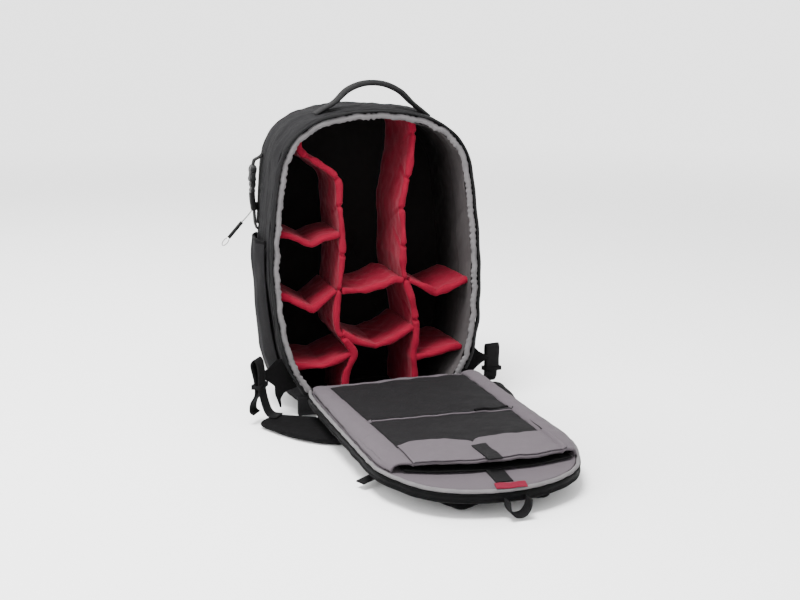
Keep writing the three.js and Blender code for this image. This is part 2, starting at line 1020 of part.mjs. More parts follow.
function sleeveHalf(along) {
  return flapHalf(along) - sleeveSideGap;
}

function sleeveTop(across, along) {
  const side = Math.min(1, Math.abs(across) / sleeveHalf(along));
  const arch = (1 - side ** 6) ** (1 / 3);
  const start = Math.min(1, Math.max(0, (along - sleeveStart) / 30));
  const closing = Math.sqrt(1 - (1 - start) ** 2);
  const swell = 0.72 + 0.28 * (along / sleeveMouth);
  const edge = 1.2;
  return sleeveFoot + edge + (sleeveRise - edge) * arch * closing * swell;
}

// The mouth bows: it lies nearer the hinge at the sides of the panel.
function sleeveMouthAt(share) {
  return sleeveMouth * (1 - 0.0667 * Math.abs(share) ** 2.5);
}

function makeLaptopSleeve() {
  return sheetSolid(
    (a, b) => {
      const share = 2 * a - 1;
      const along = sleeveStart + (sleeveMouthAt(share) - sleeveStart) * b;
      const across = share * sleeveHalf(along);
      const top = sleeveTop(across, along);
      const foot = Math.max(top - sleeveThickness, sleeveFoot);
      return {
        point: v3(across, -along, (top + foot) / 2),
        normal: alongZ,
        thin: (top - foot) / sleeveThickness,
      };
    },
    14,
    12,
    sleeveThickness,
  );
}

// A sheet sewn on the sleeve between two lines across it.
function sleeveSheet(left, right, near, far, offset, thickness, steps) {
  return sheetSolid(
    (a, b) => {
      const across = left + (right - left) * a;
      const along = near(across) + (far(across) - near(across)) * b;
      const top = sleeveTop(across, along);
      return {
        point: v3(across, -along, top + offset + thickness / 2),
        normal: alongZ,
      };
    },
    steps.across,
    steps.along,
    thickness,
  );
}

const meshLeft = -flapWidth * 0.3615;
const meshRight = flapWidth * 0.3885;
const meshNear = sleeveMouth * 0.082;
const meshZipLine = sleeveMouth * 0.469;
const sheetOffset = fitGap + 0.4;

// Free edge of the organizer pocket: two lobes that dip at a seam.
function organizerEdge(across) {
  const half = flapWidth / 2;
  const seam = half * 0.04;
  const lobe = half * (across < seam ? 0.351 : 0.378);
  const share = Math.min(1, Math.abs(across - seam) / lobe);
  const dip = organizerDip * (1 - share) ** 2.2;
  const beyond = Math.max(0, (-across / half - 0.405) / 0.318);
  return sleeveMouth * 0.7436 + dip + organizerDroop * beyond ** 2;
}

function makeMeshPocketNear() {
  return sleeveSheet(
    meshLeft,
    meshRight,
    () => meshNear,
    () => meshZipLine - meshZipWidth / 2 - fitGap,
    sheetOffset,
    pocketSheet,
    { across: 12, along: 6 },
  );
}

function makeMeshPocketFar() {
  return sleeveSheet(
    meshLeft,
    meshRight,
    () => meshZipLine + meshZipWidth / 2 + fitGap,
    (across) => organizerEdge(across) - fitGap - 0.4,
    sheetOffset,
    pocketSheet,
    { across: 16, along: 5 },
  );
}

function makeMeshZip() {
  return sleeveSheet(
    meshLeft,
    meshRight,
    () => meshZipLine - meshZipWidth / 2,
    () => meshZipLine + meshZipWidth / 2,
    sheetOffset,
    pocketSheet + 0.6,
    { across: 12, along: 1 },
  );
}

function makeMeshZipPull() {
  return sleeveSheet(
    flapWidth * 0.142,
    flapWidth * 0.338,
    () => meshZipLine - meshZipWidth / 2,
    () => meshZipLine + meshZipWidth * 0.31,
    sheetOffset + pocketSheet + 0.6 + fitGap,
    2.4,
    { across: 4, along: 1 },
  );
}

function makeOrganizer() {
  const mouthLip = 2;
  return sleeveSheet(
    meshLeft,
    meshRight,
    organizerEdge,
    (across) => sleeveMouthAt(across / sleeveHalf(sleeveMouth)) - mouthLip,
    sheetOffset,
    organizerSheet,
    { across: 16, along: 4 },
  );
}

function makeSleevePatch() {
  return sleeveSheet(
    -flapWidth * 0.0101,
    flapWidth * 0.0676,
    () => sleeveMouth * 0.831,
    () => sleeveMouth * 0.99,
    sheetOffset + organizerSheet + fitGap,
    1.6,
    { across: 3, along: 3 },
  );
}

function makeClosureStrap() {
  const up = flapLiningTop + fitGap + webbingThickness / 2;
  return webbing(
    [
      v3(-2, -flapLength * 0.799, up),
      v3(-3, -flapLength * 0.895, up),
      v3(-5, -flapLength * 0.952, up),
    ],
    alongX,
    closureStrapWidth,
    webbingThickness,
    6,
  );
}

function makeBlankLabel() {
  const rest = flapLiningTop + fitGap;
  return block(
    v3(-flapWidth * 0.088, -flapLength * 0.9825, rest),
    v3(flapWidth * 0.061, -flapLength * 0.9545, rest + pocketSheet),
  );
}

function padRing(halfWidth, near, far, inset, up) {
  const path = new THREE.Path();
  const radius = padCorner;
  const w = halfWidth - inset;
  const low = near + inset;
  const high = far - inset;
  path.moveTo(-w + radius, low);
  path.lineTo(w - radius, low);
  path.absarc(w - radius, low + radius, radius, -Math.PI / 2, 0);
  path.lineTo(w, high - radius);
  path.absarc(w - radius, high - radius, radius, 0, Math.PI / 2);
  path.lineTo(-w + radius, high);
  path.absarc(-w + radius, high - radius, radius, Math.PI / 2, Math.PI);
  path.lineTo(-w, low + radius);
  path.absarc(-w + radius, low + radius, radius, Math.PI, Math.PI * 1.5);
  return path
    .getSpacedPoints(36)
    .slice(0, -1)
    .map((p) => v3(p.x, -p.y, up));
}

const padTop = panelFoot - fitGap;

function underPad(halfWidth, near, far, thickness) {
  return ringSolid([
    padRing(halfWidth, near, far, 0, padTop),
    padRing(halfWidth, near, far, 0, padTop - thickness * 0.6),
    padRing(halfWidth, near, far, 6, padTop - thickness),
  ]);
}

const lumbarNear = flapLength * 0.048;
const lumbarFar = flapLength * 0.437;
const upperPadNear = flapLength * 0.472;
const upperPadFar = flapLength * 0.935;

function makeBackPad() {
  const half = flapWidth * 0.378;
  return underPad(half, upperPadNear, upperPadFar, backPadThickness);
}

function makeLumbarPad() {
  const half = flapWidth * 0.33;
  return underPad(half, lumbarNear, lumbarFar, lumbarPadThickness);
}

// The shoulder straps are folded flat under the panel, and the far end rests on them.
const strapTop = padTop - backPadThickness - fitGap;
const strapRest = flapLength * 0.939;
const shoulderStrapThickness =
  hingeHeight - strapRest * Math.sin(flapSlope) + strapTop - 0.8;

function makeShoulderStrap(side) {
  const up = strapTop - shoulderStrapThickness / 2;
  const at = (across, along) =>
    v3((side * across * flapWidth) / 2, -along * flapLength, up);
  return webbing(
    [at(0.284, 0.917), at(0.419, 0.808), at(0.486, 0.677), at(0.446, 0.52)],
    alongX,
    shoulderStrapWidth,
    shoulderStrapThickness,
    10,
    { bevel: 4, taper: (s) => 0.86 + 0.28 * s * (1 - s) * 2 },
  );
}

function makeShoulderWebbing(side) {
  const up = strapTop - shoulderStrapThickness / 2;
  const at = (across, along, height) =>
    v3((side * across * flapWidth) / 2, -along * flapLength, height);
  return webbing(
    [at(0.706, 0.594, up), at(0.865, 0.631, up), at(1.047, 0.659, up - 2)],
    v3(side * 0.35, 0.94, 0),
    16,
    webbingThickness,
    5,
  );
}

function makeHaulLoop() {
  const top = panelFoot + 4;
  const reach = flapLength + haulLoopWidth / 2 - 1;
  const drop = 22;
  return webbing(
    [
      v3(-17, -reach, top),
      v3(-15, -reach, top - drop * 0.55),
      v3(-8, -reach, top - drop * 0.92),
      v3(0, -reach, top - drop),
      v3(7, -reach, top - drop * 0.88),
      v3(12, -reach, top - drop * 0.5),
      v3(13, -reach, top),
    ],
    alongY,
    haulLoopWidth,
    webbingThickness,
    16,
  );
}

// Hip belt, lying on the floor under the hinge end of the panel. Places are shares of the body's
// half width across, and of the panel's length ahead of the body's front. Each webbing stands up
// from the end of its wing, turned about the vertical; its rows are shares of its rise.

const hipWings = {
  left: {
    line: [
      { across: -0.117, ahead: 0.24, wide: 1 },
      { across: -0.41, ahead: 0.223, wide: 0.983 },
      { across: -0.645, ahead: 0.19, wide: 0.9 },
      { across: -0.868, ahead: 0.12, wide: 0.7 },
      { across: -1.103, ahead: 0.035, wide: 0.4 },
    ],
    post: { across: -1.114, ahead: 0.0284, turn: 56 * degrees },
    loop: [
      { out: 0.295, up: 0 },
      { out: 0.136, up: 0.017 },
      { out: 0.045, up: 0.159 },
      { out: -0.023, up: 0.455 },
      { out: -0.034, up: 0.818 },
      { out: -0.091, up: 1 },
      { out: -0.17, up: 0.909 },
      { out: -0.114, up: 0.636 },
      { out: -0.102, up: 0.386 },
      { out: -0.193, up: 0.205 },
      { out: -0.205, up: 0.057 },
      { out: -0.136, up: 0.011 },
    ],
    keeper: { out: -0.068, up: 0.523 },
  },
  right: {
    line: [
      { across: 0.328, ahead: 0.24, wide: 1 },
      { across: 0.587, ahead: 0.218, wide: 0.983 },
      { across: 0.856, ahead: 0.164, wide: 0.9 },
      { across: 1.103, ahead: 0.0415, wide: 0.7 },
      { across: 1.249, ahead: -0.155, wide: 0.45 },
    ],
    post: { across: 1.232, ahead: -0.107, turn: 8 * degrees },
    loop: [
      { out: -0.273, up: 0 },
      { out: -0.114, up: 0.017 },
      { out: -0.023, up: 0.136 },
      { out: -0.011, up: 0.455 },
      { out: -0.023, up: 0.705 },
      { out: 0.023, up: 0.773 },
      { out: 0.068, up: 0.705 },
      { out: 0.057, up: 0.455 },
      { out: 0.068, up: 0.273 },
    ],
    keeper: { out: 0.023, up: 0.295 },
  },
};

function beltPlace({ across, ahead }) {
  return { x: (across * bodyWidth) / 2, y: frontY - ahead * flapLength };
}

// The wing is a flat pad: its centre line and its width run through the rows smoothly.
function makeHipWing({ line }) {
  const steps = 10;
  const edgeBevel = 5;
  const curve = new THREE.CatmullRomCurve3(
    line.map((row) => {
      const { x, y } = beltPlace(row);
      return v3(x, y, row.wide * hipWingWidth);
    }),
    false,
    "centripetal",
  );
  const rows = curve.getSpacedPoints(steps);
  const stations = rows.map(({ x, y }, i) => {
    const before = rows[Math.max(0, i - 1)];
    const after = rows[Math.min(steps, i + 1)];
    const first = v3(before.y - after.y, after.x - before.x, 0).normalize();
    return { point: v3(x, y, hipPadThickness / 2), first, second: alongZ };
  });
  return ringSolid(
    stations.map(({ point, first, second }, i) =>
      bevelledSection(rows[i].z, hipPadThickness, edgeBevel).map(([a, b]) =>
        point.clone().addScaledVector(first, a).addScaledVector(second, b),
      ),
    ),
  );
}

const hipWebbingFoot = hipPadThickness + fitGap + webbingThickness / 2;

function atPost(geometry, post) {
  const { x, y } = beltPlace(post);
  return geometry.rotateZ(post.turn).translate(x, y, hipWebbingFoot);
}

function makeHipWebbing({ post, loop }) {
  const points = loop.map(({ out, up }) =>
    v3(0, -out, up).multiplyScalar(hipWebbingRise),
  );
  const steps = loop.length * 2;
  return atPost(
    webbing(points, alongX, hipWebbingWidth, webbingThickness, steps),
    post,
  );
}

// The elastic ring that holds the folded webbing together.
function makeHipKeeper({ post, keeper }) {
  const height = keeperHeight;
  const out = keeper.out * hipWebbingRise;
  const up = keeper.up * hipWebbingRise;
  const foldedHalf = hipWebbingRise * 0.0705;
  const inner = v3(hipWebbingWidth / 2 + 2 * fitGap, foldedHalf, height);
  const ring = (size, tall) =>
    toSolid(
      block(
        v3(-size.x, -out - size.y, up - tall / 2),
        v3(size.x, -out + size.y, up + tall / 2),
      ),
    );
  const outer = ring(
    v3(inner.x + keeperWall, inner.y + keeperWall, height),
    height,
  );
  return atPost(toGeometry(outer.subtract(ring(inner, height * 2))), post);
}

// The fabric web that ties the belt to the body's lower corner: an outline seen from the front,
// as shares of half width and height. Its inner side follows the shell.
const beltWeb = [
  { across: 0.84, rise: 0.2 },
  { across: 0.963, rise: 0.196 },
  { across: 1.03, rise: 0.171 },
  { across: 1.077, rise: 0.162 },
  { across: 1.133, rise: 0.147 },
  { across: 1.079, rise: 0.135 },
  { across: 1.033, rise: 0.124 },
  { across: 0.98, rise: 0.108 },
  { across: 0.98, rise: 0.081 },
  { across: 0.954, rise: 0.056 },
  { across: 0.937, rise: 0.035 },
  { across: 0.92, rise: 0.035 },
  { across: 0.925, rise: 0.065 },
  { across: 0.896, rise: 0.082 },
  { across: 0.849, rise: 0.092 },
  { across: 0.77, rise: 0.1 },
  { across: 0.74, rise: 0.15 },
];

function makeBeltWeb(side) {
  const shape = new THREE.Shape(
    beltWeb.map(
      ({ across, rise }) =>
        new THREE.Vector2((side * across * bodyWidth) / 2, rise * bodyHeight),
    ),
  );
  const slab = new THREE.ExtrudeGeometry(shape, {
    depth: beltWebThickness,
    bevelEnabled: false,
  });
  slab.rotateX(Math.PI / 2).translate(0, frontY + beltWebDepth, 0);
  const body = toSolid(
    ringSolid(
      bodySections
        .filter((row) => row.depth < 0.6)
        .map((row) => skinRing(row.depth * bodyDepth, -fitGap)),
    ),
  );
  return toGeometry(toSolid(slab).subtract(body));
}

// The cloth hinge: it rises from the sill over the panel's edge and laps onto its lining.
function makeHingeCloth() {
  const lapHeight =
    hingeHeight + flapLiningTop + fitGap + hingeClothThickness / 2;
  return sheetSolid(
    (a, b) => {
      const x = hingeClothLeft + (hingeClothRight - hingeClothLeft) * a;
      const panelY =
        frontY - hingeClearance + (x - hingeShift) * Math.tan(flapTurn);
      const rows = [
        { share: 0, y: frontY + sillWall - 1, z: sillHeight + 1.4 },
        { share: 0.25, y: frontY + 2, z: sillHeight + 2.6 },
        { share: 0.5, y: frontY - 3, z: (sillHeight + lapHeight) / 2 + 2 },
        { share: 0.75, y: panelY - 1.5, z: lapHeight },
        {
          share: 1,
          y: panelY - hingeClothLap,
          z: lapHeight - hingeClothLap * Math.sin(flapSlope),
        },
      ];
      return {
        point: v3(
          x,
          tableAt(rows, "share", "y", b),
          tableAt(rows, "share", "z", b),
        ),
        normal: v3(0, -0.45, 0.9).normalize(),
      };
    },
    8,
    4,
    hingeClothThickness,
  );
}

// Assembly

const backpack = new THREE.Group();

const body = new THREE.Group();
backpack.add(body);
const addBody = (name, geometry, look) =>
  body.add(named(name, leanBack(geometry), look));

addBody("shell", makeShell(), "shellFabric");
addBody("lining", makeLining(), "lining");
addBody("rim_binding", makeRimBinding(), "lining");
addBody("body_zip", makeBodyZip(), "zip");
addBody("top_handle", makeHandle(), "webbing");
addBody("front_pocket", makeFrontPocket(), "shellFabric");
addBody("front_pocket_zip", makeFrontPocketZip(), "zip");
addBody("side_pocket", makeSidePocket(), "shellFabric");
addBody("side_strap_top", makeSideStrapTop(), "webbing");
addBody("side_buckle_socket", makeSideSocket(), "buckle");
addBody("side_buckle_plug", makeSidePlug(), "buckle");
addBody("side_strap_foot", makeSideStrapFoot(), "webbing");
addBody("side_zip_slider", makeSlider(), "buckle");
addBody("pull_cord", makePullCord(), "cord");
addBody("pull_grip", makePullGrip(), "buckle");
addBody("pull_loop", makePullLoop(), "cord");

const room = roomSolid();
const longNames = Object.keys(dividerLines);
for (const name of longNames) {
  const board = dividerBoard(dividerLines[name], dividerThickness);
  addBody(name, toGeometry(toSolid(board).intersect(room)), "divider");
}
for (const { name, line } of crossDividers) {
  let board = toSolid(dividerBoard(line, dividerThickness * 0.9)).intersect(room);
  for (const other of longNames) {
    const thick = dividerThickness + 2 * fitGap;
    board = board.subtract(toSolid(dividerBoard(dividerLines[other], thick)));
  }
  const largest = board
    .decompose()
    .reduce((best, piece) => (piece.volume() > best.volume() ? piece : best));
  addBody(name, toGeometry(largest), "divider");
}

const hinge = new THREE.Group();
hinge.position.set(hingeShift, frontY - hingeClearance, hingeHeight);
hinge.rotation.z = flapTurn;
const flap = new THREE.Group();
flap.rotation.x = flapSlope;
hinge.add(flap);
backpack.add(hinge);
const addFlap = (name, geometry, look) =>
  flap.add(named(name, geometry, look));

addFlap("flap_panel", makeFlapPanel(), "shellFabric");
addFlap("flap_lining", makeFlapLining(), "lining");
addFlap("flap_binding", makeFlapBinding(), "lining");
addFlap("flap_zip", makeFlapZip(), "zip");
addFlap("laptop_sleeve", makeLaptopSleeve(), "lining");
addFlap("mesh_pocket_near", makeMeshPocketNear(), "mesh");
addFlap("mesh_pocket_far", makeMeshPocketFar(), "mesh");
addFlap("mesh_pocket_zip", makeMeshZip(), "lining");
addFlap("mesh_zip_pull", makeMeshZipPull(), "buckle");
addFlap("organizer_pocket", makeOrganizer(), "lining");
addFlap("sleeve_patch", makeSleevePatch(), "mesh");
addFlap("closure_strap", makeClosureStrap(), "webbing");
addFlap("blank_label", makeBlankLabel(), "label");
addFlap("back_pad", makeBackPad(), "mesh");
addFlap("lumbar_pad", makeLumbarPad(), "mesh");
addFlap("shoulder_strap_left", makeShoulderStrap(-1), "shellFabric");
addFlap("shoulder_strap_right", makeShoulderStrap(1), "shellFabric");
addFlap("shoulder_webbing_left", makeShoulderWebbing(-1), "webbing");
addFlap("shoulder_webbing_right", makeShoulderWebbing(1), "webbing");
addFlap("haul_loop", makeHaulLoop(), "webbing");

const belt = new THREE.Group();
backpack.add(belt);
addBody("belt_web_left", makeBeltWeb(-1), "webbing");
addBody("belt_web_right", makeBeltWeb(1), "webbing");
for (const [side, wing] of Object.entries(hipWings)) {
  belt.add(named(`hip_wing_${side}`, makeHipWing(wing), "shellFabric"));
  belt.add(named(`hip_webbing_${side}`, makeHipWebbing(wing), "webbing"));
  belt.add(named(`hip_keeper_${side}`, makeHipKeeper(wing), "buckle"));
}
belt.add(named("hinge_cloth", makeHingeCloth(), "lining"));

export default backpack;
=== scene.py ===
# A camera backpack stands on its base with its zipped back panel folded down to the front.
# Metres, +Z up. The opening faces -Y and the opened panel lies towards -Y.
import math

import bpy
import numpy as np
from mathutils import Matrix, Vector


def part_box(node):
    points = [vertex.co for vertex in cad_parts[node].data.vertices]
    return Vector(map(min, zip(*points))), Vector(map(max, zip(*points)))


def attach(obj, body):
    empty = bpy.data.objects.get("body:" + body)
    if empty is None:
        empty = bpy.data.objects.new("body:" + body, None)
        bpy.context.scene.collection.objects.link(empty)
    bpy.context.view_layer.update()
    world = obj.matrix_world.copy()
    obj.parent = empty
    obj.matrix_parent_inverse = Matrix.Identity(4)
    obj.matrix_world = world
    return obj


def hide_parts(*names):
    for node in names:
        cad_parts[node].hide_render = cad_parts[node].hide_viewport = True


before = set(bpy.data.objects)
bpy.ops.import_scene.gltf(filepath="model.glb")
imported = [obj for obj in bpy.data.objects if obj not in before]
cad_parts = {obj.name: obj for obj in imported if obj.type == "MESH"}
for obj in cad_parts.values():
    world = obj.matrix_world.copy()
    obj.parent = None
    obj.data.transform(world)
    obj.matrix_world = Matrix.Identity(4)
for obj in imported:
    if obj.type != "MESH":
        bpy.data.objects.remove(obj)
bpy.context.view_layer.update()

BODY = "root"

# Main body, as in the frame
body_width = 0.341
body_height = 0.478
body_depth = 0.165
body_front = -0.105
body_lean = math.tan(math.radians(3))
shell_wall = 0.009

# Opened panel, as in the frame
panel_width = 0.296
panel_length = 0.458
panel_turn = math.radians(3.4)
panel_slope = math.radians(1.8)
hinge_place = np.array([0.018, -0.115, 0.050])
sleeve_mouth = 0.390
sleeve_start = 0.022

body_outline_rows = (
    # rise, left, right, as shares of the height and of the half width
    (0, 0.5, 0.56),
    (0.02, 0.6, 0.66),
    (0.084, 0.725, 0.79),
    (0.178, 0.87, 0.92),
    (0.314, 0.96, 0.988),
    (0.502, 0.995, 1),
    (0.682, 0.955, 0.964),
    (0.824, 0.887, 0.912),
    (0.895, 0.8, 0.821),
    (0.95, 0.64, 0.651),
    (0.985, 0.4, 0.4),
    (1, 0, 0),
)

panel_outline_rows = (
    (0, 0.9, 0.9),
    (0.02, 0.955, 0.955),
    (0.1, 0.99, 0.99),
    (0.3, 1, 1),
    (0.5, 1, 1),
    (0.66, 1, 1),
    (0.74, 0.985, 0.985),
    (0.82, 0.9, 0.9),
    (0.9, 0.76, 0.76),
    (0.95, 0.58, 0.58),
    (0.985, 0.33, 0.33),
    (1, 0, 0),
)

# The same shares where the skin has filled out behind the rim
behind_shares = (0.58, 0.74, 0.89, 0.94, 0.97, 0.995, 0.965, 0.925, 0.865, 0.73, 0.48, 0)

# How the body narrows behind its front edge, and how far its skin has filled out
body_section_rows = (
    # share of depth, wide, tall, lift, filled
    (-0.1, 1, 1, 0, 0),
    (0, 1, 1, 0, 0),
    (0.13, 0.999, 1.0015, 0, 0.12),
    (0.35, 0.997, 1.004, 0, 0.8),
    (0.55, 0.988, 1.004, 0, 1),
    (0.75, 0.978, 1.004, 0, 1),
    (0.93, 0.955, 0.99, 0, 1),
    (1, 0.905, 0.95, 0.015, 1),
    (1.1, 0.905, 0.95, 0.015, 1),
)


# Curves and surfaces


def smooth_line(points, count):
    """Points spaced evenly along a smooth curve through the given ones."""
    p = np.asarray(points, float)
    padded = np.vstack([2 * p[0] - p[1], p, 2 * p[-1] - p[-2]])
    t = np.linspace(0, 1, 24, endpoint=False)[:, None]
    parts = []
    for a, b, c, d in zip(padded, padded[1:], padded[2:], padded[3:]):
        parts.append(
            0.5
            * (
                2 * b
                + (c - a) * t
                + (2 * a - 5 * b + 4 * c - d) * t**2
                + (3 * b - a - 3 * c + d) * t**3
            )
        )
    return even_line(np.vstack([*parts, p[-1:]]), count)


def even_line(points, count):
    """Points spaced evenly along a polyline."""
    p = np.asarray(points, float)
    reach = np.r_[0, np.cumsum(np.linalg.norm(np.diff(p, axis=0), axis=1))]
    at = np.linspace(0, reach[-1], count)
    return np.stack([np.interp(at, reach, p[:, k]) for k in range(p.shape[1])], axis=1)


def line_length(points):
    return float(np.linalg.norm(np.diff(points, axis=0), axis=1).sum())


def outline_loop(rows, half_width, height, count=720):
    """A closed outline that starts at the left end of its flat edge and runs to the right."""
    table = np.array(rows, float)
    right = np.stack([table[:, 2] * half_width, table[:, 0] * height], axis=1)
    left = np.stack([-table[:, 1] * half_width, table[:, 0] * height], axis=1)
    round_part = smooth_line(np.vstack([right, left[-2::-1]]), count)
    return even_line(np.vstack([left[:1], round_part]), count)


def inward_normals(loop):
    along = np.gradient(loop, axis=0)
    along[0] = along[-1] = loop[1] - loop[-2]
    along /= np.linalg.norm(along, axis=1, keepdims=True) + 1e-12
    return np.stack([-along[:, 1], along[:, 0]], axis=1)


def sample(table, share):
    """Reads rows that are spaced evenly from 0 to 1."""
    at = np.linspace(0, 1, len(table))
    return np.stack([np.interp(share, at, table[:, k]) for k in range(table.shape[1])], -1)


def ripple(points, wavelength, seed, count=7):
    """A smooth uneven field, about -1.5 to 1.5."""
    draw = np.random.default_rng(seed)
    total = 0.0
    for _ in range(count):
        direction = draw.normal(size=points.shape[-1])
        direction /= np.linalg.norm(direction)
        k = 2 * math.pi / (wavelength * draw.uniform(0.7, 1.5))
        total = total + np.sin(points @ direction * k + draw.uniform(0, 2 * math.pi))
    return total / math.sqrt(count)


def bump_at(value, centre, width):
    return np.exp(-(((value - centre) / width) ** 2))


body_loop = outline_loop(body_outline_rows, body_width / 2, body_height)
body_inward = inward_normals(body_loop)
filled_rows = [
    (rise, max(left, behind), max(right, behind))
    for (rise, left, right), behind in zip(body_outline_rows, behind_shares)
]
filled_loop = outline_loop(filled_rows, body_width / 2, body_height)
body_round = line_length(body_loop)
panel_loop = outline_loop(panel_outline_rows, panel_width / 2, panel_length)
panel_inward = inward_normals(panel_loop)
panel_round = line_length(panel_loop)
sections = np.array(body_section_rows, float)


def body_point(share, depth, inset, shrink=1.0, outside=0.0):
    """A point of the body: share round its outline, depth behind the front, inset from the skin.
    The skin, outside=1, fills out behind the rim, and the room inside doesn't."""
    at = depth / body_depth
    filled = np.interp(at, sections[:, 0], sections[:, 4]) * outside
    x, z = np.moveaxis(sample(body_loop, share), -1, 0)
    full_x, full_z = np.moveaxis(sample(filled_loop, share), -1, 0)
    x, z = x + (full_x - x) * filled, z + (full_z - z) * filled
    nx, nz = np.moveaxis(sample(body_inward, share), -1, 0)
    wide, tall, lift = (np.interp(at, sections[:, 0], sections[:, k]) for k in (1, 2, 3))
    x = x * wide + nx * inset
    z = z * (tall - lift) + lift * body_height + nz * inset
    middle = body_height * 0.5
    x = x * shrink
    z = middle + (z - middle) * shrink
    return np.stack([x, body_front + depth + body_lean * z, z], axis=-1)


def panel_to_world(across, along, up):
    """A point of the opened panel: across it, along it from the hinge, and up from its plane."""
    across, along, up = np.broadcast_arrays(across, along, up)
    y = -along
    c, s = math.cos(panel_slope), math.sin(panel_slope)
    y, z = y * c - up * s, y * s + up * c
    c, s = math.cos(panel_turn), math.sin(panel_turn)
    x, y = across * c - y * s, across * s + y * c
    return np.stack([x, y, z], axis=-1) + hinge_place


def panel_point(share, inset, up):
    x, along = np.moveaxis(sample(panel_loop, share), -1, 0)
    nx, n_along = np.moveaxis(sample(panel_inward, share), -1, 0)
    return panel_to_world(x + nx * inset, along + n_along * inset, up)


def panel_half(along):
    right = panel_loop[panel_loop[:, 0] >= 0]
    order = np.argsort(right[:, 1])
    return np.interp(along, right[order, 1], right[order, 0])


def share_at_height(loop, height, side):
    """Share round an outline where its right (1) or left (-1) side passes a height."""
    at = np.linspace(0, 1, len(loop))
    keep = (loop[:, 0] * side > 0) & (at > 0.02)
    near = np.argmin(np.abs(loop[keep, 1] - height))
    return float(at[keep][near])


# Modelling


def select_only(piece):
    if bpy.context.object and bpy.context.object.mode == "EDIT":
        bpy.ops.object.mode_set(mode="OBJECT")
    bpy.ops.object.select_all(action="DESELECT")
    if piece is not None:
        piece.select_set(True)
        bpy.context.view_layer.objects.active = piece


def in_edit_mode(piece, *steps):
    select_only(piece)
    bpy.ops.object.mode_set(mode="EDIT")
    bpy.ops.mesh.select_all(action="SELECT")
    for step in steps:
        step()
    bpy.ops.object.mode_set(mode="OBJECT")


def modify(piece, kind, **settings):
    select_only(piece)
    modifier = piece.modifiers.new(kind.title(), kind)
    for key, value in settings.items():
        setattr(modifier, key, value)
    bpy.ops.object.modifier_apply(modifier=modifier.name)


def subdivide(piece, levels=1):
    modify(piece, "SUBSURF", levels=levels, render_levels=levels)


def thicken(piece, thickness, offset=-1.0):
    modify(piece, "SOLIDIFY", thickness=thickness, offset=offset, use_even_offset=False)


def smooth(piece):
    select_only(piece)
    bpy.ops.object.shade_smooth()


def sharp_smooth(piece, angle=40):
    select_only(piece)
    bpy.ops.object.shade_smooth_by_angle(angle=math.radians(angle))


def face_out(piece):
    in_edit_mode(
        piece,
        lambda: bpy.ops.mesh.remove_doubles(threshold=1e-5),
        lambda: bpy.ops.mesh.normals_make_consistent(inside=False),
    )


def cap_ends(piece, threshold=1e-6):
    """Merges a tube's seam, closes its open ends and turns its faces outwards."""
    in_edit_mode(
        piece,
        lambda: bpy.ops.mesh.remove_doubles(threshold=threshold),
        lambda: bpy.ops.mesh.select_all(action="DESELECT"),
        lambda: bpy.ops.mesh.select_non_manifold(),
        lambda: bpy.ops.mesh.edge_face_add(),
        lambda: bpy.ops.mesh.select_all(action="SELECT"),
        lambda: bpy.ops.mesh.normals_make_consistent(inside=False),
    )


def cloth_grid(name, columns, rows, place, closed=False, flat=None):
    """Adds a grid and lays it over a surface: place(u, v) gives the points for u and v from 0 to 1.
    Its UV map is in metres, so a weave keeps its size."""
    select_only(None)
    bpy.ops.mesh.primitive_grid_add(x_subdivisions=columns, y_subdivisions=rows, size=2)
    piece = bpy.context.active_object
    piece.name = name
    mesh = piece.data
    mesh.name = name
    at = np.zeros(len(mesh.vertices) * 3)
    mesh.vertices.foreach_get("co", at)
    u, v = (at.reshape(-1, 3)[:, :2].T + 1) / 2
    mesh.vertices.foreach_set("co", np.asarray(place(u, v), np.float32).ravel())
    if flat is None:
        middle = np.full(200, 0.5)
        run = np.linspace(0, 1, 200)
        flat = (line_length(place(run, middle)), line_length(place(middle, run)))
    layer = mesh.uv_layers.active.data
    uv = np.zeros(len(layer) * 2)
    layer.foreach_get("uv", uv)
    layer.foreach_set("uv", (uv.reshape(-1, 2) * np.array(flat)).ravel())
    mesh.update()
    if closed:
        face_out(piece)
    return piece


def swept(name, centres, firsts, seconds, section, closed_ends=True, scale=None):
    """A band or tube: its section, in two directions, is carried along the centres."""
    ring = np.asarray(section, float)
    ring = np.vstack([ring, ring[:1]])
    count = len(centres)
    scales = np.ones(count) if scale is None else np.asarray(scale, float)

    def place(u, v):
        i = np.clip(np.round(v * (count - 1)).astype(int), 0, count - 1)
        j = np.clip(np.round(u * (len(ring) - 1)).astype(int), 0, len(ring) - 1)
        a, b = ring[j, 0] * scales[i], ring[j, 1]
        return centres[i] + firsts[i] * a[:, None] + seconds[i] * b[:, None]

    girth = line_length(ring)
    flat = (girth, line_length(centres))
    piece = cloth_grid(name, len(ring) - 1, count - 1, place, closed=False, flat=flat)
    if closed_ends:
        cap_ends(piece)
    return piece


def round_section(a, b, sides=10):
    turn = np.linspace(0, 2 * math.pi, sides, endpoint=False)
    return np.stack([a * np.cos(turn), b * np.sin(turn)], axis=1)


def strap_section(width, thickness, round_by=0.4):
    """A flat band with rolled edges."""
    w, t = width / 2, thickness / 2
    r = t * round_by
    return np.array(
        [
            (w - r * 0.3, -t * 0.6),
            (w, 0),
            (w - r * 0.3, t * 0.6),
            (w - r * 1.6, t),
            (w * 0.5, t * 1.02),
            (0, t),
            (-w * 0.5, t * 1.02),
            (-w + r * 1.6, t),
            (-w + r * 0.3, t * 0.6),
            (-w, 0),
            (-w + r * 0.3, -t * 0.6),
            (-w + r * 1.6, -t),
            (-w * 0.5, -t * 1.02),
            (0, -t),
            (w * 0.5, -t * 1.02),
            (w - r * 1.6, -t),
        ]
    )


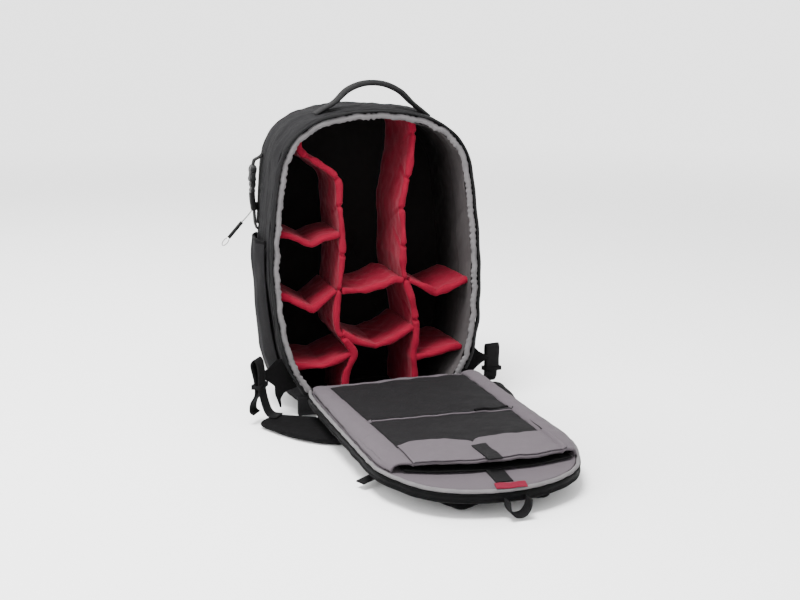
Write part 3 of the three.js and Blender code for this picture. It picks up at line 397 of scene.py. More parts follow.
def directions(centres, across):
    """Unit directions of a band along its centres: across its width, and through it."""
    along = np.gradient(centres, axis=0)
    along /= np.linalg.norm(along, axis=1, keepdims=True)
    side = np.broadcast_to(np.asarray(across, float), centres.shape)
    through = np.cross(along, side)
    through /= np.linalg.norm(through, axis=1, keepdims=True)
    first = np.cross(through, along)
    return first, through


def strap(name, points, across, width, thickness, count=60, wobble=0.0, seed=1, scale=None):
    """Webbing along a line of chosen points."""
    centres = smooth_line(points, count)
    if wobble:
        first, through = directions(centres, across)
        shake = ripple(centres, 0.03, seed)
        centres = centres + through * (shake * wobble)[:, None]
    first, through = directions(centres, across)
    piece = swept(name, centres, first, through, strap_section(width, thickness), scale=scale)
    smooth(piece)
    return piece


def join(name, parts):
    """Joins pieces into the first one."""
    select_only(parts[0])
    for part in parts[1:]:
        part.select_set(True)
    bpy.context.view_layer.objects.active = parts[0]
    if len(parts) > 1:
        bpy.ops.object.join()
    parts[0].name = name
    return parts[0]


def block(name, size, place, turn_z=0.0, bevel=0.0012, segments=3):
    """A moulded block with rounded edges, at its place in its mesh."""
    select_only(None)
    bpy.ops.mesh.primitive_cube_add(size=1, location=place, rotation=(0, 0, turn_z))
    piece = bpy.context.active_object
    piece.name = name
    piece.scale = size
    bpy.ops.object.transform_apply(location=True, rotation=True, scale=True)
    if bevel:
        modify(piece, "BEVEL", width=bevel, segments=segments, limit_method="ANGLE")
    sharp_smooth(piece)
    return piece


def finished(piece, material, slot, *nodes):
    """Gives a piece its material and its ride, and names the nodes that it stands for; its slot is not used.
    """
    piece.data.materials.clear()
    piece.data.materials.append(material)
    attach(piece, BODY)
    if nodes:
        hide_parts(*nodes)
    return piece


# Materials


class Wave:
    """A number in a material, worked on with Python's own signs."""

    def __init__(self, finish, socket):
        self.finish = finish
        self.socket = socket

    def _math(self, operation, other=None, swap=False):
        node = self.finish.tree.nodes.new("ShaderNodeMath")
        node.operation = operation
        values = [self] if other is None else ([other, self] if swap else [self, other])
        for socket, value in zip(node.inputs, values):
            self.finish.feed(socket, value)
        return Wave(self.finish, node.outputs[0])

    def __add__(self, other):
        return self._math("ADD", other)

    __radd__ = __add__

    def __mul__(self, other):
        return self._math("MULTIPLY", other)

    __rmul__ = __mul__

    def __sub__(self, other):
        return self._math("SUBTRACT", other)

    def __rsub__(self, other):
        return self._math("SUBTRACT", other, swap=True)

    def sine(self):
        return self._math("SINE")

    def size(self):
        return self._math("ABSOLUTE")

    def power(self, other):
        return self._math("POWER", other)


class Finish:
    """A material with its Principled shader, and short ways to add nodes to it."""

    def __init__(self, name, roughness=0.8, **constants):
        self.material = bpy.data.materials.new(name)
        self.material.use_nodes = True
        self.tree = self.material.node_tree
        self.shader = self.tree.nodes["Principled BSDF"]
        self.shader.inputs["Roughness"].default_value = roughness
        self.shader.inputs["Specular IOR Level"].default_value = 0.04
        for key, value in constants.items():
            self.shader.inputs[key.replace("_", " ").title()].default_value = value

    def feed(self, socket, value):
        if isinstance(value, Wave):
            self.tree.links.new(value.socket, socket)
        elif isinstance(value, bpy.types.NodeSocket):
            self.tree.links.new(value, socket)
        else:
            socket.default_value = value

    def node(self, kind, settings=None, **inputs):
        node = self.tree.nodes.new("ShaderNode" + kind)
        for key, value in (settings or {}).items():
            setattr(node, key, value)
        for key, value in inputs.items():
            self.feed(node.inputs[key.replace("_", " ").title()], value)
        return node

    def axes(self, source):
        """The three coordinates of Object or UV."""
        coordinates = self.node("TexCoord").outputs[source]
        split = self.node("SeparateXYZ", Vector=coordinates)
        return [Wave(self, output) for output in split.outputs]

    def noise(self, scale, detail=3.0, roughness=0.55, source="Object", stretch=(1, 1, 1)):
        coordinates = self.node("TexCoord").outputs[source]
        mapping = self.node("Mapping", Vector=coordinates, Scale=stretch)
        made = self.node(
            "TexNoise", None, Vector=mapping.outputs[0], Scale=scale, Detail=detail, Roughness=roughness
        )
        return Wave(self, made.outputs[0])

    def blend_colours(self, factor, dark, light):
        mix = self.tree.nodes.new("ShaderNodeMix")
        mix.data_type = "RGBA"
        self.feed(mix.inputs[0], factor)
        self.feed(mix.inputs[6], (*dark, 1) if isinstance(dark, tuple) else dark)
        self.feed(mix.inputs[7], (*light, 1) if isinstance(light, tuple) else light)
        return mix.outputs[2]

    def colour(self, value):
        self.feed(self.shader.inputs["Base Color"], value if not isinstance(value, tuple) else (*value, 1))

    def relief(self, *heights):
        """Bumps, each a height with its distance in metres, the coarse one first."""
        normal = None
        for height, distance in heights:
            bump = self.node("Bump", None, Height=height, Distance=distance)
            bump.inputs["Strength"].default_value = 1.0
            if normal is not None:
                self.feed(bump.inputs["Normal"], normal)
            normal = bump.outputs[0]
        self.feed(self.shader.inputs["Normal"], normal)


smooth_step = {"interpolation_type": "SMOOTHSTEP"}


def tinted(colour, amount):
    return tuple(min(1.0, c * amount) for c in colour)


def cloth(name, colour, weave=0.0011, weave_depth=0.00012, roughness=0.85, sheen=0.25, crease=0.0006,
          crease_scale=55, variety=0.16, fuzz=0.00006):
    """Woven cloth: crossed threads, soft creases and slightly uneven dye."""
    f = Finish(name, roughness, sheen_weight=sheen, sheen_roughness=0.45)
    u, v, _ = f.axes("UV")
    turn = 2 * math.pi / weave
    threads = (u * turn).sine() * (v * turn).sine()
    tone = f.noise(crease_scale * 0.5, 4)
    fibres = f.noise(1400, 2)
    dye = tone * 0.7 + fibres * 0.3
    f.colour(f.blend_colours(dye, tinted(colour, 1 - variety), tinted(colour, 1 + variety)))
    creases = f.noise(crease_scale, 3, 0.5, stretch=(1, 1, 0.55))
    f.relief((creases, crease), (threads * 0.5 + fibres * (fuzz / weave_depth), weave_depth))
    return f.material


def webbing_finish(name, colour, rib=0.0022, roughness=0.7):
    """Flat woven webbing: ribs across it and a fine herringbone."""
    f = Finish(name, roughness, sheen_weight=0.004, sheen_roughness=0.4)
    u, v, _ = f.axes("UV")
    ribs = (v * (2 * math.pi / rib)).sine()
    twill = ((u + v * 0.5) * (2 * math.pi / 0.0016)).sine()
    tone = f.noise(80, 3)
    f.colour(f.blend_colours(tone * 0.6 + ribs * 0.2, tinted(colour, 0.75), tinted(colour, 1.25)))
    f.relief((ribs * 0.6 + twill * 0.4, 0.0002))
    return f.material


def mesh_finish(name, hole_colour, thread_colour, pitch=0.0024):
    """Knitted mesh: rows of small openings between darker threads."""
    f = Finish(name, 0.75, sheen_weight=0.01, sheen_roughness=0.5)
    u, v, _ = f.axes("UV")
    k = 2 * math.pi / pitch
    cells = (u * k).sine() * (v * k * 0.7).sine()
    tone = f.noise(30, 3)
    mask = (cells.size() * 0.8 + tone * 0.25)
    f.colour(f.blend_colours(mask, hole_colour, thread_colour))
    sag = f.noise(40, 3, 0.5, stretch=(0.5, 2.5, 1))
    f.relief((sag, 0.0016), (f.noise(110, 3, 0.5, stretch=(0.25, 3, 1)), 0.0007), (cells.size(), 0.0003))
    return f.material


def lining_finish(name, colour, painted_shade_share):
    """Smooth lining cloth, whose colour is darkened towards the back of the compartments as painted shade."""
    f = Finish(name, 0.8, sheen_weight=0.02, sheen_roughness=0.45)
    _, y, _ = f.axes("Object")
    # Painted shade: the colour darkens from the front towards the back of the compartments, where shade
    # falls.
    reach = (y - body_front) * (1 / body_depth)
    depth = f.node("MapRange", smooth_step, Value=reach, From_Min=0.15, From_Max=0.85)
    tone = f.noise(20, 4)
    front = f.blend_colours(tone, tinted(colour, 0.85), tinted(colour, 1.15))
    f.colour(f.blend_colours(depth.outputs[0], front, tinted(colour, painted_shade_share)))
    f.relief((f.noise(38, 3, 0.5, stretch=(1, 1, 0.55)), 0.0014), (f.noise(1200, 2), 0.00006))
    return f.material


def padded_mesh_finish(name, colour):
    """Spacer mesh over foam: small round cells."""
    f = Finish(name, 0.85, sheen_weight=0.02, sheen_roughness=0.5)
    coordinates = f.node("TexCoord").outputs["Object"]
    cells = f.node("TexVoronoi", None, Vector=coordinates, Scale=330.0)
    depth = Wave(f, cells.outputs["Distance"])
    f.colour(f.blend_colours(depth * 1.2, tinted(colour, 0.5), tinted(colour, 1.4)))
    f.relief((f.noise(40, 2), 0.0008), (depth, 0.0005))
    return f.material


def moulded(name, colour, roughness=0.42):
    """Injection-moulded plastic with a fine matte grain."""
    f = Finish(name, roughness)
    f.shader.inputs["Specular IOR Level"].default_value = 0.12
    grain = f.noise(1800, 2)
    wear = f.noise(90, 4)
    f.colour(f.blend_colours(wear, tinted(colour, 0.85), tinted(colour, 1.2)))
    f.feed(f.shader.inputs["Roughness"], wear * 0.12 + (roughness - 0.06))
    f.relief((grain, 0.00004))
    return f.material


def brushed_red(name, colour, edge):
    """Brushed loop cloth over foam: short nap, soft dents and a paler bloom where light grazes it."""
    f = Finish(name, 0.95, sheen_weight=0.12, sheen_roughness=0.35)
    f.shader.inputs["Sheen Tint"].default_value = (1.0, 0.45, 0.5, 1)
    f.shader.inputs["Specular IOR Level"].default_value = 0.12
    nap = f.noise(900, 4, 0.7)
    streaks = f.noise(160, 3, 0.6, stretch=(1, 0.35, 1))
    tone = f.noise(22, 3)
    f.colour(f.blend_colours(tone * 0.5 + nap * 0.3 + streaks * 0.2, tinted(colour, 0.72), edge))
    f.relief((f.noise(60, 3), 0.0012), (nap * 0.7 + streaks * 0.3, 0.00025))
    return f.material


body_weave = dict(weave=0.0013, sheen=0.004, variety=0.3)
shell_cloth = cloth("shell_cloth", (0.0095, 0.0093, 0.0099), crease=0.0012, **body_weave)
pocket_cloth = cloth("pocket_cloth", (0.0082, 0.008, 0.0085), crease=0.001, **body_weave)
handle_cloth = cloth("handle_cloth", (0.014, 0.0139, 0.0142), weave=0.0012, sheen=0.006)
strap_cloth = cloth("strap_cloth", (0.0035, 0.0034, 0.0036), weave=0.0012, sheen=0.002, crease=0.001)
lining_cloth = lining_finish("lining_cloth", (0.044, 0.0395, 0.04), 0.12)
panel_cloth = cloth(
    "panel_cloth",
    (0.069, 0.0595, 0.0668),
    weave=0.0007,
    weave_depth=0.00005,
    sheen=0.02,
    crease=0.001,
    crease_scale=30,
    variety=0.06,
)
binding_cloth = cloth(
    "binding_cloth",
    (0.1, 0.095, 0.098),
    weave=0.0008,
    weave_depth=0.00006,
    sheen=0.03,
    crease=0.0016,
    crease_scale=120,
    variety=0.42,
)
red_cloth = brushed_red("red_cloth", (0.08, 0.0009, 0.0066), (0.2, 0.0032, 0.019))
black_mesh = mesh_finish("black_mesh", (0.004, 0.0038, 0.0042), (0.0125, 0.0118, 0.0125))
pad_mesh = padded_mesh_finish("pad_mesh", (0.007, 0.007, 0.0074))
dark_webbing = webbing_finish("dark_webbing", (0.008, 0.0078, 0.0082))
black_webbing = webbing_finish("black_webbing", (0.0042, 0.0041, 0.0043))
tape_weave = dict(weave=0.0009, roughness=0.6, crease=0.0003)
tape_black = cloth("tape_black", (0.0035, 0.0035, 0.0037), sheen=0.004, **tape_weave)
tape_grey = cloth("tape_grey", (0.009, 0.0089, 0.0092), sheen=0.005, **tape_weave)
coil_black = moulded("coil_black", (0.004, 0.004, 0.0043), 0.45)
buckle_black = moulded("buckle_black", (0.004, 0.004, 0.0043), 0.5)
cord_grey = webbing_finish("cord_grey", (0.25, 0.25, 0.25), rib=0.0016)
label_red = cloth(
    "label_red",
    (0.1, 0.003, 0.014),
    weave=0.0006,
    weave_depth=0.00005,
    sheen=0.05,
    crease=0.0002,
    variety=0.08,
)


# Camera, light and floor


def make_camera():
    turn, rise = math.radians(17), math.radians(12.5)
    forward = Vector((math.sin(turn) * math.cos(rise), math.cos(turn) * math.cos(rise), -math.sin(rise)))
    data = bpy.data.cameras.new("camera")
    data.lens = 54
    data.sensor_width = 36
    camera = bpy.data.objects.new("camera", data)
    bpy.context.scene.collection.objects.link(camera)
    camera.location = (-0.5086, -1.8815, 0.5927)
    camera.rotation_mode = "QUATERNION"
    camera.rotation_quaternion = forward.to_track_quat("-Z", "Y")
    bpy.context.scene.camera = camera


def make_light(name, place, target, size, power):
    data = bpy.data.lights.new(name, "AREA")
    data.shape = "DISK"
    data.size = size
    data.energy = power
    light = bpy.data.objects.new(name, data)
    bpy.context.scene.collection.objects.link(light)
    light.location = place
    light.rotation_mode = "QUATERNION"
    light.rotation_quaternion = (Vector(target) - Vector(place)).to_track_quat("-Z", "Y")


def make_studio():
    world = bpy.data.worlds.new("studio")
    bpy.context.scene.world = world
    world.use_nodes = True
    background = world.node_tree.nodes["Background"]
    background.inputs[0].default_value = (1, 1, 1, 1)
    background.inputs[1].default_value = 1.45
    make_light("key", (-0.6, -0.7, 2.5), (0, -0.2, 0.1), 1.2, 175)
    make_light("fill", (-1.8, -1.0, 1.3), (0, -0.1, 0.2), 1.4, 20)
    make_light("back", (-0.8, 1.6, 1.9), (0, 0, 0.2), 1.4, 40)

    floor_width, level_reach = 18, 5.0

    def place(u, v):
        x, y = floor_width * (u - 0.5), floor_width * (v - 0.5)
        rise = np.maximum(0, np.hypot(x, y) - level_reach)
        return np.stack([x, y, 0.25 * rise**2], axis=-1)

    floor = cloth_grid("floor", 90, 90, place)
    smooth(floor)
    f = Finish("floor_paint", 0.9)
    f.shader.inputs["Specular IOR Level"].default_value = 0.1
    f.colour((0.86, 0.86, 0.86))
    x, y, _ = f.axes("Object")
    distance = (x * x + y * y).power(0.5)
    far = f.node("MapRange", smooth_step, Value=distance, From_Min=1.2, From_Max=level_reach)
    glow = f.blend_colours(far.outputs[0], (0.0, 0.0, 0.0), (0.95, 0.95, 0.95))
    f.feed(f.shader.inputs["Emission Color"], glow)
    f.shader.inputs["Emission Strength"].default_value = 1.0
    floor.data.materials.append(f.material)


make_camera()
make_studio()


# Places on the body and the panel


def left_skin(height, depth, off):
    """A point beside the body's left side."""
    at = depth / body_depth
    wide, tall, _, filled = (np.interp(at, sections[:, 0], sections[:, k]) for k in (1, 2, 3, 4))
    reaches = []
    for loop in (body_loop, filled_loop):
        left = loop[loop[:, 0] < 0]
        left = left[np.argsort(left[:, 1])]
        reaches.append(np.interp(np.asarray(height) / tall, left[:, 1], -left[:, 0]) * wide)
    reach = reaches[0] + (reaches[1] - reaches[0]) * filled
    height = np.asarray(height, float)
    y = body_front + depth + body_lean * height
    return np.stack(np.broadcast_arrays(-reach - off, y, height), axis=-1)


def top_skin(x, depth):
    """Height of the body's top at a place across it."""
    tall, filled = (np.interp(depth / body_depth, sections[:, 0], sections[:, k]) for k in (2, 4))
    heights = []
    for loop in (body_loop, filled_loop):
        right = loop[(loop[:, 0] >= 0) & (loop[:, 1] > body_height * 0.7)]
        right = right[np.argsort(right[:, 0])]
        heights.append(np.interp(abs(x), right[:, 0], right[:, 1]) * tall)
    return heights[0] + (heights[1] - heights[0]) * filled


def leaned(x, depth, z):
    return np.stack(np.broadcast_arrays(x, body_front + depth + body_lean * z, z), axis=-1)


def sleeve_half(along):
    return panel_half(along) - 0.010


def sleeve_top(across, along):
    side = np.minimum(1, np.abs(across) / sleeve_half(along))
    arch = (1 - side**6) ** (1 / 3)
    start = np.clip((along - sleeve_start) / 0.030, 0, 1)
    closing = np.sqrt(1 - (1 - start) ** 2)
    swell = 0.72 + 0.28 * (along / sleeve_mouth)
    return 0.0022 + 0.0012 + 0.0118 * arch * closing * swell


def mouth_at(share):
    return sleeve_mouth * (1 - 0.0667 * np.abs(share) ** 2.5) + 0.009 + 0.013 * share


def organizer_edge(across):
    """The organizer's free edge: two lobes that meet at a sewn slit."""
    seam = -0.0066
    share = np.minimum(1, np.abs(across - seam) / 0.034)
    rise = smooth_rise(across)
    return rise + 0.020 * (1 - share) ** 2.6


organizer_edge_rows = (
    # across the panel, along it
    (-0.115, 0.314),
    (-0.090, 0.306),
    (-0.063, 0.303),
    (-0.025, 0.312),
    (0.02, 0.316),
    (0.055, 0.317),
    (0.115, 0.322),
)


def smooth_rise(across):
    line = smooth_line(organizer_edge_rows, 120)
    return np.interp(across, line[:, 0], line[:, 1])


def mesh_line(across):
    """How far out the zip between the two mesh pockets lies."""
    return 0.205 + 0.088 * (np.asarray(across) + 0.114)


def inside(points, polygon):
    """Which points lie inside a closed polygon."""
    a, b = polygon, np.roll(polygon, -1, axis=0)
    x, z = points[:, 0, None], points[:, 1, None]
    crosses = (a[:, 1] > z) != (b[:, 1] > z)
    rise = np.where(b[:, 1] == a[:, 1], 1e-12, b[:, 1] - a[:, 1])
    at = a[:, 0] + (z - a[:, 1]) / rise * (b[:, 0] - a[:, 0])
    return (crosses & (x < at)).sum(axis=1) % 2 == 1


# Zip pull, with its cord


def make_zip_pull():
    depth, height = 0.140, 0.3179
    seat = left_skin(height, depth, 0.006)
    way = np.array([-0.68, -0.12, -0.72])
    way /= np.linalg.norm(way)
    cord_length, grip_length, loop_length = 0.034, 0.034, 0.015
    run = np.linspace(0.0015, cord_length - 0.0004, 18)
    sag = 0.0008 * np.sin(math.pi * run / cord_length)
    path = seat + run[:, None] * way - sag[:, None] * np.array([0, 0, 1])
    first, through = directions(path, (0, 1, 0))
    cord = swept("pull_cord_piece", path, first, through, round_section(0.0011, 0.0011, 12))
    smooth(cord)
    finished(cord, cord_grey, "pull_cord", "pull_cord")

    reach = np.linspace(0, 1, 26)
    centre = seat + (cord_length + reach * grip_length)[:, None] * way
    first, through = directions(centre, (0, 1, 0))
    taper = 0.72 + 0.28 * np.sin(math.pi * np.clip(reach * 1.1, 0, 1)) ** 0.6
    grooves = 1 - 0.1 * (np.sin(reach * 2 * math.pi * 6) > 0.4)
    ends = np.sqrt(np.clip(1 - (2 * reach - 1) ** 12, 0.15, 1))
    girth = round_section(0.0032, 0.003, 16)
    grip = swept("pull_grip_piece", centre, first, through, girth, scale=taper * grooves * ends)
    smooth(grip)
    finished(grip, buckle_black, "buckle_plastic", "pull_grip")

    turn = np.linspace(-0.82 * math.pi, 0.82 * math.pi, 40)
    side = np.cross((0, 1, 0), way)
    side /= np.linalg.norm(side)
    start = seat + (cord_length + grip_length + 0.0004) * way
    along = (1 + np.cos(turn)) / 2 * loop_length
    centre = start + along[:, None] * way + (np.sin(turn) * 0.0036)[:, None] * side
    first, through = directions(centre, (0, 1, 0))
    loop = swept("pull_loop_piece", centre, first, through, round_section(0.0008, 0.0008, 8))
    smooth(loop)
    finished(loop, cord_grey, "pull_cord", "pull_loop")
    line_length(path)


make_zip_pull()


# Main body


def make_shell():
    # Each row is a depth behind the front, an inset from the skin and a share of the width
    rows = [(0.153, shell_wall, s) for s in (0.002, 0.25, 0.5, 0.75, 0.93, 1)]
    rows += [(d, shell_wall, 1) for d in np.linspace(0.15, 0.006, 16)]
    rows += [(0.003, 0.0088, 1), (0.0012, 0.0078, 1), (0.0004, 0.006, 1)]
    rows += [(0.0004, 0.004, 1), (0.001, 0.0022, 1), (0.003, 0.0008, 1)]
    skin_start = len(rows)
    rows += [(d, 0, 1) for d in np.arange(0.006, 0.1635, 0.0024)]
    rows += [(body_depth, 0.0005, 1)]
    skin_end = len(rows)
    rows += [(body_depth, 0.003, s) for s in (0.985, 0.9, 0.7, 0.4, 0.002)]
    table = np.array(rows)
    outer = np.zeros(len(rows))
    outer[skin_start:skin_end] = 1

    def place(u, v):
        i = np.round(v * (len(table) - 1)).astype(int)
        depth, inset, shrink = table[i].T
        soft = outer[i]
        outside = np.clip((v * (len(table) - 1) - (skin_start - 2)) / 2, 0, 1)
        base = body_point(u, depth, inset, shrink, outside)
        around = body_loop_height(u)
        folds = 0.0011 * ripple(base, 0.085, 3) + 0.0005 * ripple(base, 0.03, 4)
        top = np.clip((around - 0.30) / 0.1, 0, 1) * bump_at(depth, 0.03, 0.03)
        folds = folds + top * 0.0012 * ripple(base, 0.05, 6) + 0.0003 * ripple(base, 0.011, 7)
        seams = 0.0012 * bump_at(depth, 0.05, 0.0014) + 0.0018 * bump_at(depth, 0.1275, 0.002)
        skin = body_point(u, depth, inset + soft * (seams - folds), shrink, outside)
        rise = np.clip((base[:, 2] / body_height - 0.84) / 0.12, 0, 1)
        filled = np.interp(depth / body_depth, sections[:, 0], sections[:, 4]) * outside
        skin[:, 2] += 0.0034 * filled * rise * soft
        return skin

    shell = cloth_grid("shell_cover", 440, len(rows) - 1, place, closed=True, flat=(body_round, 0.5))
    smooth(shell)
    finished(shell, shell_cloth, "shell_fabric", "shell")


def body_loop_height(share):
    return sample(body_loop, share)[..., 1]


def make_sill():
    """The low front lip of the shell, under the opening."""
    left, right = -0.132, 0.142
    profile = np.array(
        [
            (0.0005, 0.004),
            (0.0, 0.018),
            (0.0005, 0.031),
            (0.002, 0.0345),
            (0.005, 0.0357),
            (0.0085, 0.0345),
            (0.0098, 0.031),
            (0.01, 0.018),
            (0.01, 0.004),
        ]
    )
    x = np.linspace(left, right, 90)
    centres = leaned(x, 0.0, 0 * x)
    centres[:, 2] = 0
    count = len(x)
    firsts = np.tile([0, 1.0, 0], (count, 1))
    seconds = np.tile([0, 0, 1.0], (count, 1))
    sill = swept("sill_lip", centres, firsts, seconds, profile)
    smooth(sill)
    finished(sill, shell_cloth, "shell_fabric")


def make_lining():
    rows = [(d, 1) for d in np.linspace(0.0008, 0.1526, 46)]
    rows += [(0.1526, s) for s in (0.98, 0.93, 0.8, 0.6, 0.4, 0.2, 0.003)]
    table = np.array(rows)

    def place(u, v):
        i = np.round(v * (len(table) - 1)).astype(int)
        depth, shrink = table[i].T
        base = body_point(u, depth, 0.0098, shrink)
        fold = np.abs(ripple(base, 0.07, 11)) * 0.0016 + np.abs(ripple(base, 0.026, 12)) * 0.0006
        seam = 0.0012 * bump_at(depth, 0.062, 0.002)
        p = body_point(u, depth, 0.0098 + fold - seam + 0.0006, shrink)
        over_sill = (depth < 0.0125) & (p[..., 2] < 0.0372)
        p[..., 2] = np.where(over_sill, 0.0372, p[..., 2])
        return p

    lining = cloth_grid("lining_cover", 420, len(rows) - 1, place, closed=True, flat=(body_round, 0.35))
    thicken(lining, 0.0009)
    smooth(lining)
    finished(lining, lining_cloth, "lining_fabric", "lining")


def edge_shares(loop, height):
    return share_at_height(loop, height, 1), share_at_height(loop, height, -1)


def body_edge(height, count):
    """A run round the opening from one end of the sill to the other, and its directions."""
    start, end = edge_shares(body_loop, height)
    share = np.linspace(start, end, count)
    x, z = sample(body_loop, share).T
    nx, nz = sample(body_inward, share).T
    inward = np.stack([nx, 0 * nx, nz], axis=1)
    forward = np.tile([0, 1.0, 0], (count, 1))
    return x, z, nx, nz, inward, forward


def make_rim():
    x, z, nx, nz, inward, forward = body_edge(0.040, 760)
    length = line_length(np.stack([x, z], axis=1))
    run = np.linspace(0, length, len(x))[:, None]
    wave = 0.0008 * ripple(run, 0.045, 21) + 0.0004 * ripple(run, 0.018, 22)
    thick = 1.08 + 0.10 * ripple(run, 0.022, 23) + 0.13 * ripple(run, 0.008, 24)
    lift = 0.0008 * ripple(run, 0.05, 25)
    inset = 0.0084 + wave
    centre = leaned(x + nx * inset, -0.0042 + lift * 0.5, z + nz * inset)
    girth = round_section(0.0045, 0.0036, 18)
    binding = swept("rim_binding_tape", centre, inward, forward, girth, scale=thick)
    smooth(binding)
    finished(binding, binding_cloth, "binding_tape", "rim_binding")

    x, z, nx, nz, inward, forward = body_edge(0.060, 640)
    run = np.linspace(0, length, len(x))[:, None]
    wave = 0.0005 * ripple(run, 0.06, 31)
    centre = leaned(x + nx * (0.001 + wave), -0.0046, z + nz * (0.001 + wave))
    tape = swept("body_zip_tape", centre, inward, forward, strap_section(0.0018, 0.0088))
    smooth(tape)
    coil = zip_coil("body_zip_coil", centre - forward * 0.0044, inward, forward)
    finished(tape, tape_grey, "zip_tape", "body_zip")
    finished(coil, coil_black, "zip_tape")

    x, z, nx, nz, inward, forward = body_edge(0.050, 520)
    centre = leaned(x - nx * 0.0002, 0.0135, z - nz * 0.0002)
    piping = swept("shell_front_piping", centre, inward, forward, round_section(0.0012, 0.0012, 8))
    smooth(piping)
    finished(piping, shell_cloth, "shell_fabric")


def zip_coil(name, centres, firsts, seconds, pitch=0.0016, radius=0.0011):
    """The spiral of zip teeth along the edge of a tape."""
    total = line_length(centres)
    count = int(total / pitch * 3) + 1
    at = even_line(np.hstack([centres, firsts, seconds]), count)
    c, f, s = at[:, :3], at[:, 3:6], at[:, 6:]
    pulse = 1 + 0.32 * np.cos(np.arange(count) * 2 * math.pi / 3)
    coil = swept(name, c, f, s, round_section(radius * 1.4, radius, 6), scale=pulse)
    return coil


def make_handle():
    middle, half, tail, depth = 0.009, 0.075, 0.018, 0.045
    seat = 0.0035
    crest = 0.517
    half_wide = 0.0125
    left, right = middle - half, middle + half

    def on_top(x, share=0.0):
        base = top_skin(x, depth + half_wide) + seat
        z = base + (crest - base) * share
        return leaned(x, depth, z)

    points = [
        on_top(left - tail),
        on_top(left - tail * 0.3),
        on_top(left + half * 0.205, 0.24),
        on_top(left + half * 0.487, 0.72),
        on_top(middle - half * 0.154, 1),
        on_top(middle + half * 0.256, 0.97),
        on_top(right - half * 0.385, 0.66),
        on_top(right - half * 0.128, 0.24),
        on_top(right + tail * 0.4),
        on_top(right + tail),
    ]
    for end in (0, -1):
        points[end] = points[end] - (0, 0, 0.005)
    centres = smooth_line(points, 150)
    first, through = directions(centres, (0, 1, 0))
    run = np.linspace(0, 1, 150)
    swell = 1 + 0.5 * np.exp(-(((run - 0.5) / 0.28) ** 4))
    quarter = [(half_wide, 0), (0.0118, 0.0017), (0.010, 0.0026), (0.005, 0.003), (0, 0.0031)]
    upper = quarter + [(-a, b) for a, b in quarter[-2::-1]]
    lower = [(a, -b) for a, b in upper[-2:0:-1]]
    handle = swept("handle_webbing", centres, first, through * swell[:, None], upper + lower)
    smooth(handle)
    finished(handle, handle_cloth, "handle_fabric", "top_handle")


make_shell()
make_sill()
make_lining()
make_rim()
make_handle()


# Padded dividers

divider_lines = {
    # across and up, as shares of the half width and of the height
    "divider_long_left": [
        (-0.7, 0.99), (-0.686, 0.908), (-0.66, 0.868), (-0.48, 0.824), (-0.33, 0.776),
        (-0.315, 0.686), (-0.3, 0.6), (-0.305, 0.51), (-0.34, 0.416), (-0.372, 0.33),
        (-0.355, 0.272), (-0.27, 0.232), (-0.212, 0.194), (-0.25, 0.16), (-0.3, 0.11),
        (-0.31, 0),
    ],
    "divider_long_right": [
        (0.33, 1.02), (0.4, 0.931), (0.385, 0.866), (0.34, 0.776), (0.282, 0.686),
        (0.294, 0.605), (0.282, 0.504), (0.305, 0.435), (0.364, 0.366), (0.4, 0.297),
        (0.4, 0.228), (0.375, 0.17), (0.385, 0.11), (0.37, 0),
    ],
    "divider_left_upper": [
        (-1, 0.613), (-0.8, 0.6), (-0.595, 0.567), (-0.48, 0.584), (-0.3, 0.598),
    ],
    "divider_left_middle": [
        (-1, 0.42), (-0.8, 0.39), (-0.6, 0.353), (-0.47, 0.385), (-0.345, 0.416),
    ],
    "divider_left_lower": [
        (-1, 0.2), (-0.8, 0.168), (-0.52, 0.16), (-0.34, 0.18), (-0.212, 0.197),
    ],
    "divider_middle_upper": [
        (-0.34, 0.41), (-0.1, 0.405), (0.08, 0.42), (0.2, 0.437), (0.31, 0.43),
    ],
    "divider_middle_lower": [
        (-0.35, 0.275), (-0.18, 0.235), (0, 0.215), (0.2, 0.235), (0.4, 0.275),
    ],
    "divider_right_upper": [
        (0.345, 0.43), (0.5, 0.405), (0.61, 0.381), (0.74, 0.398), (1, 0.43),
    ],
    "divider_right_lower": [
        (0.375, 0.165), (0.55, 0.171), (0.7, 0.186), (0.8, 0.192), (1, 0.184),
    ],
}


# Where the long dividers' front edges are pinched: height, in metres
divider_pinches = {
    "divider_long_left": (0.408, 0.372, 0.330, 0.252, 0.198, 0.120),
    "divider_long_right": (0.440, 0.369, 0.322, 0.262, 0.208, 0.140),
}


def divider_centre(name):
    line = np.array(divider_lines[name]) * (body_width / 2, body_height)
    if "long" in name:
        points = smooth_line(line, 900)
    else:
        points = even_line(line, 900)
        points = 0.25 * smooth_line(line, 900) + 0.75 * points
    room = body_loop + body_inward * 0.0122
    keep = inside(points, room)
    if "long" not in name:
        for other in ("divider_long_left", "divider_long_right"):
            wall = divider_centre(other)
            gap = np.linalg.norm(points[:, None] - wall[None], axis=2).min(axis=1)
            keep &= gap > 0.0045
    runs = np.split(np.arange(len(points)), np.where(np.diff(keep.astype(int)) != 0)[0] + 1)
    runs = [run for run in runs if keep[run[0]]]
    return points[max(runs, key=len)]


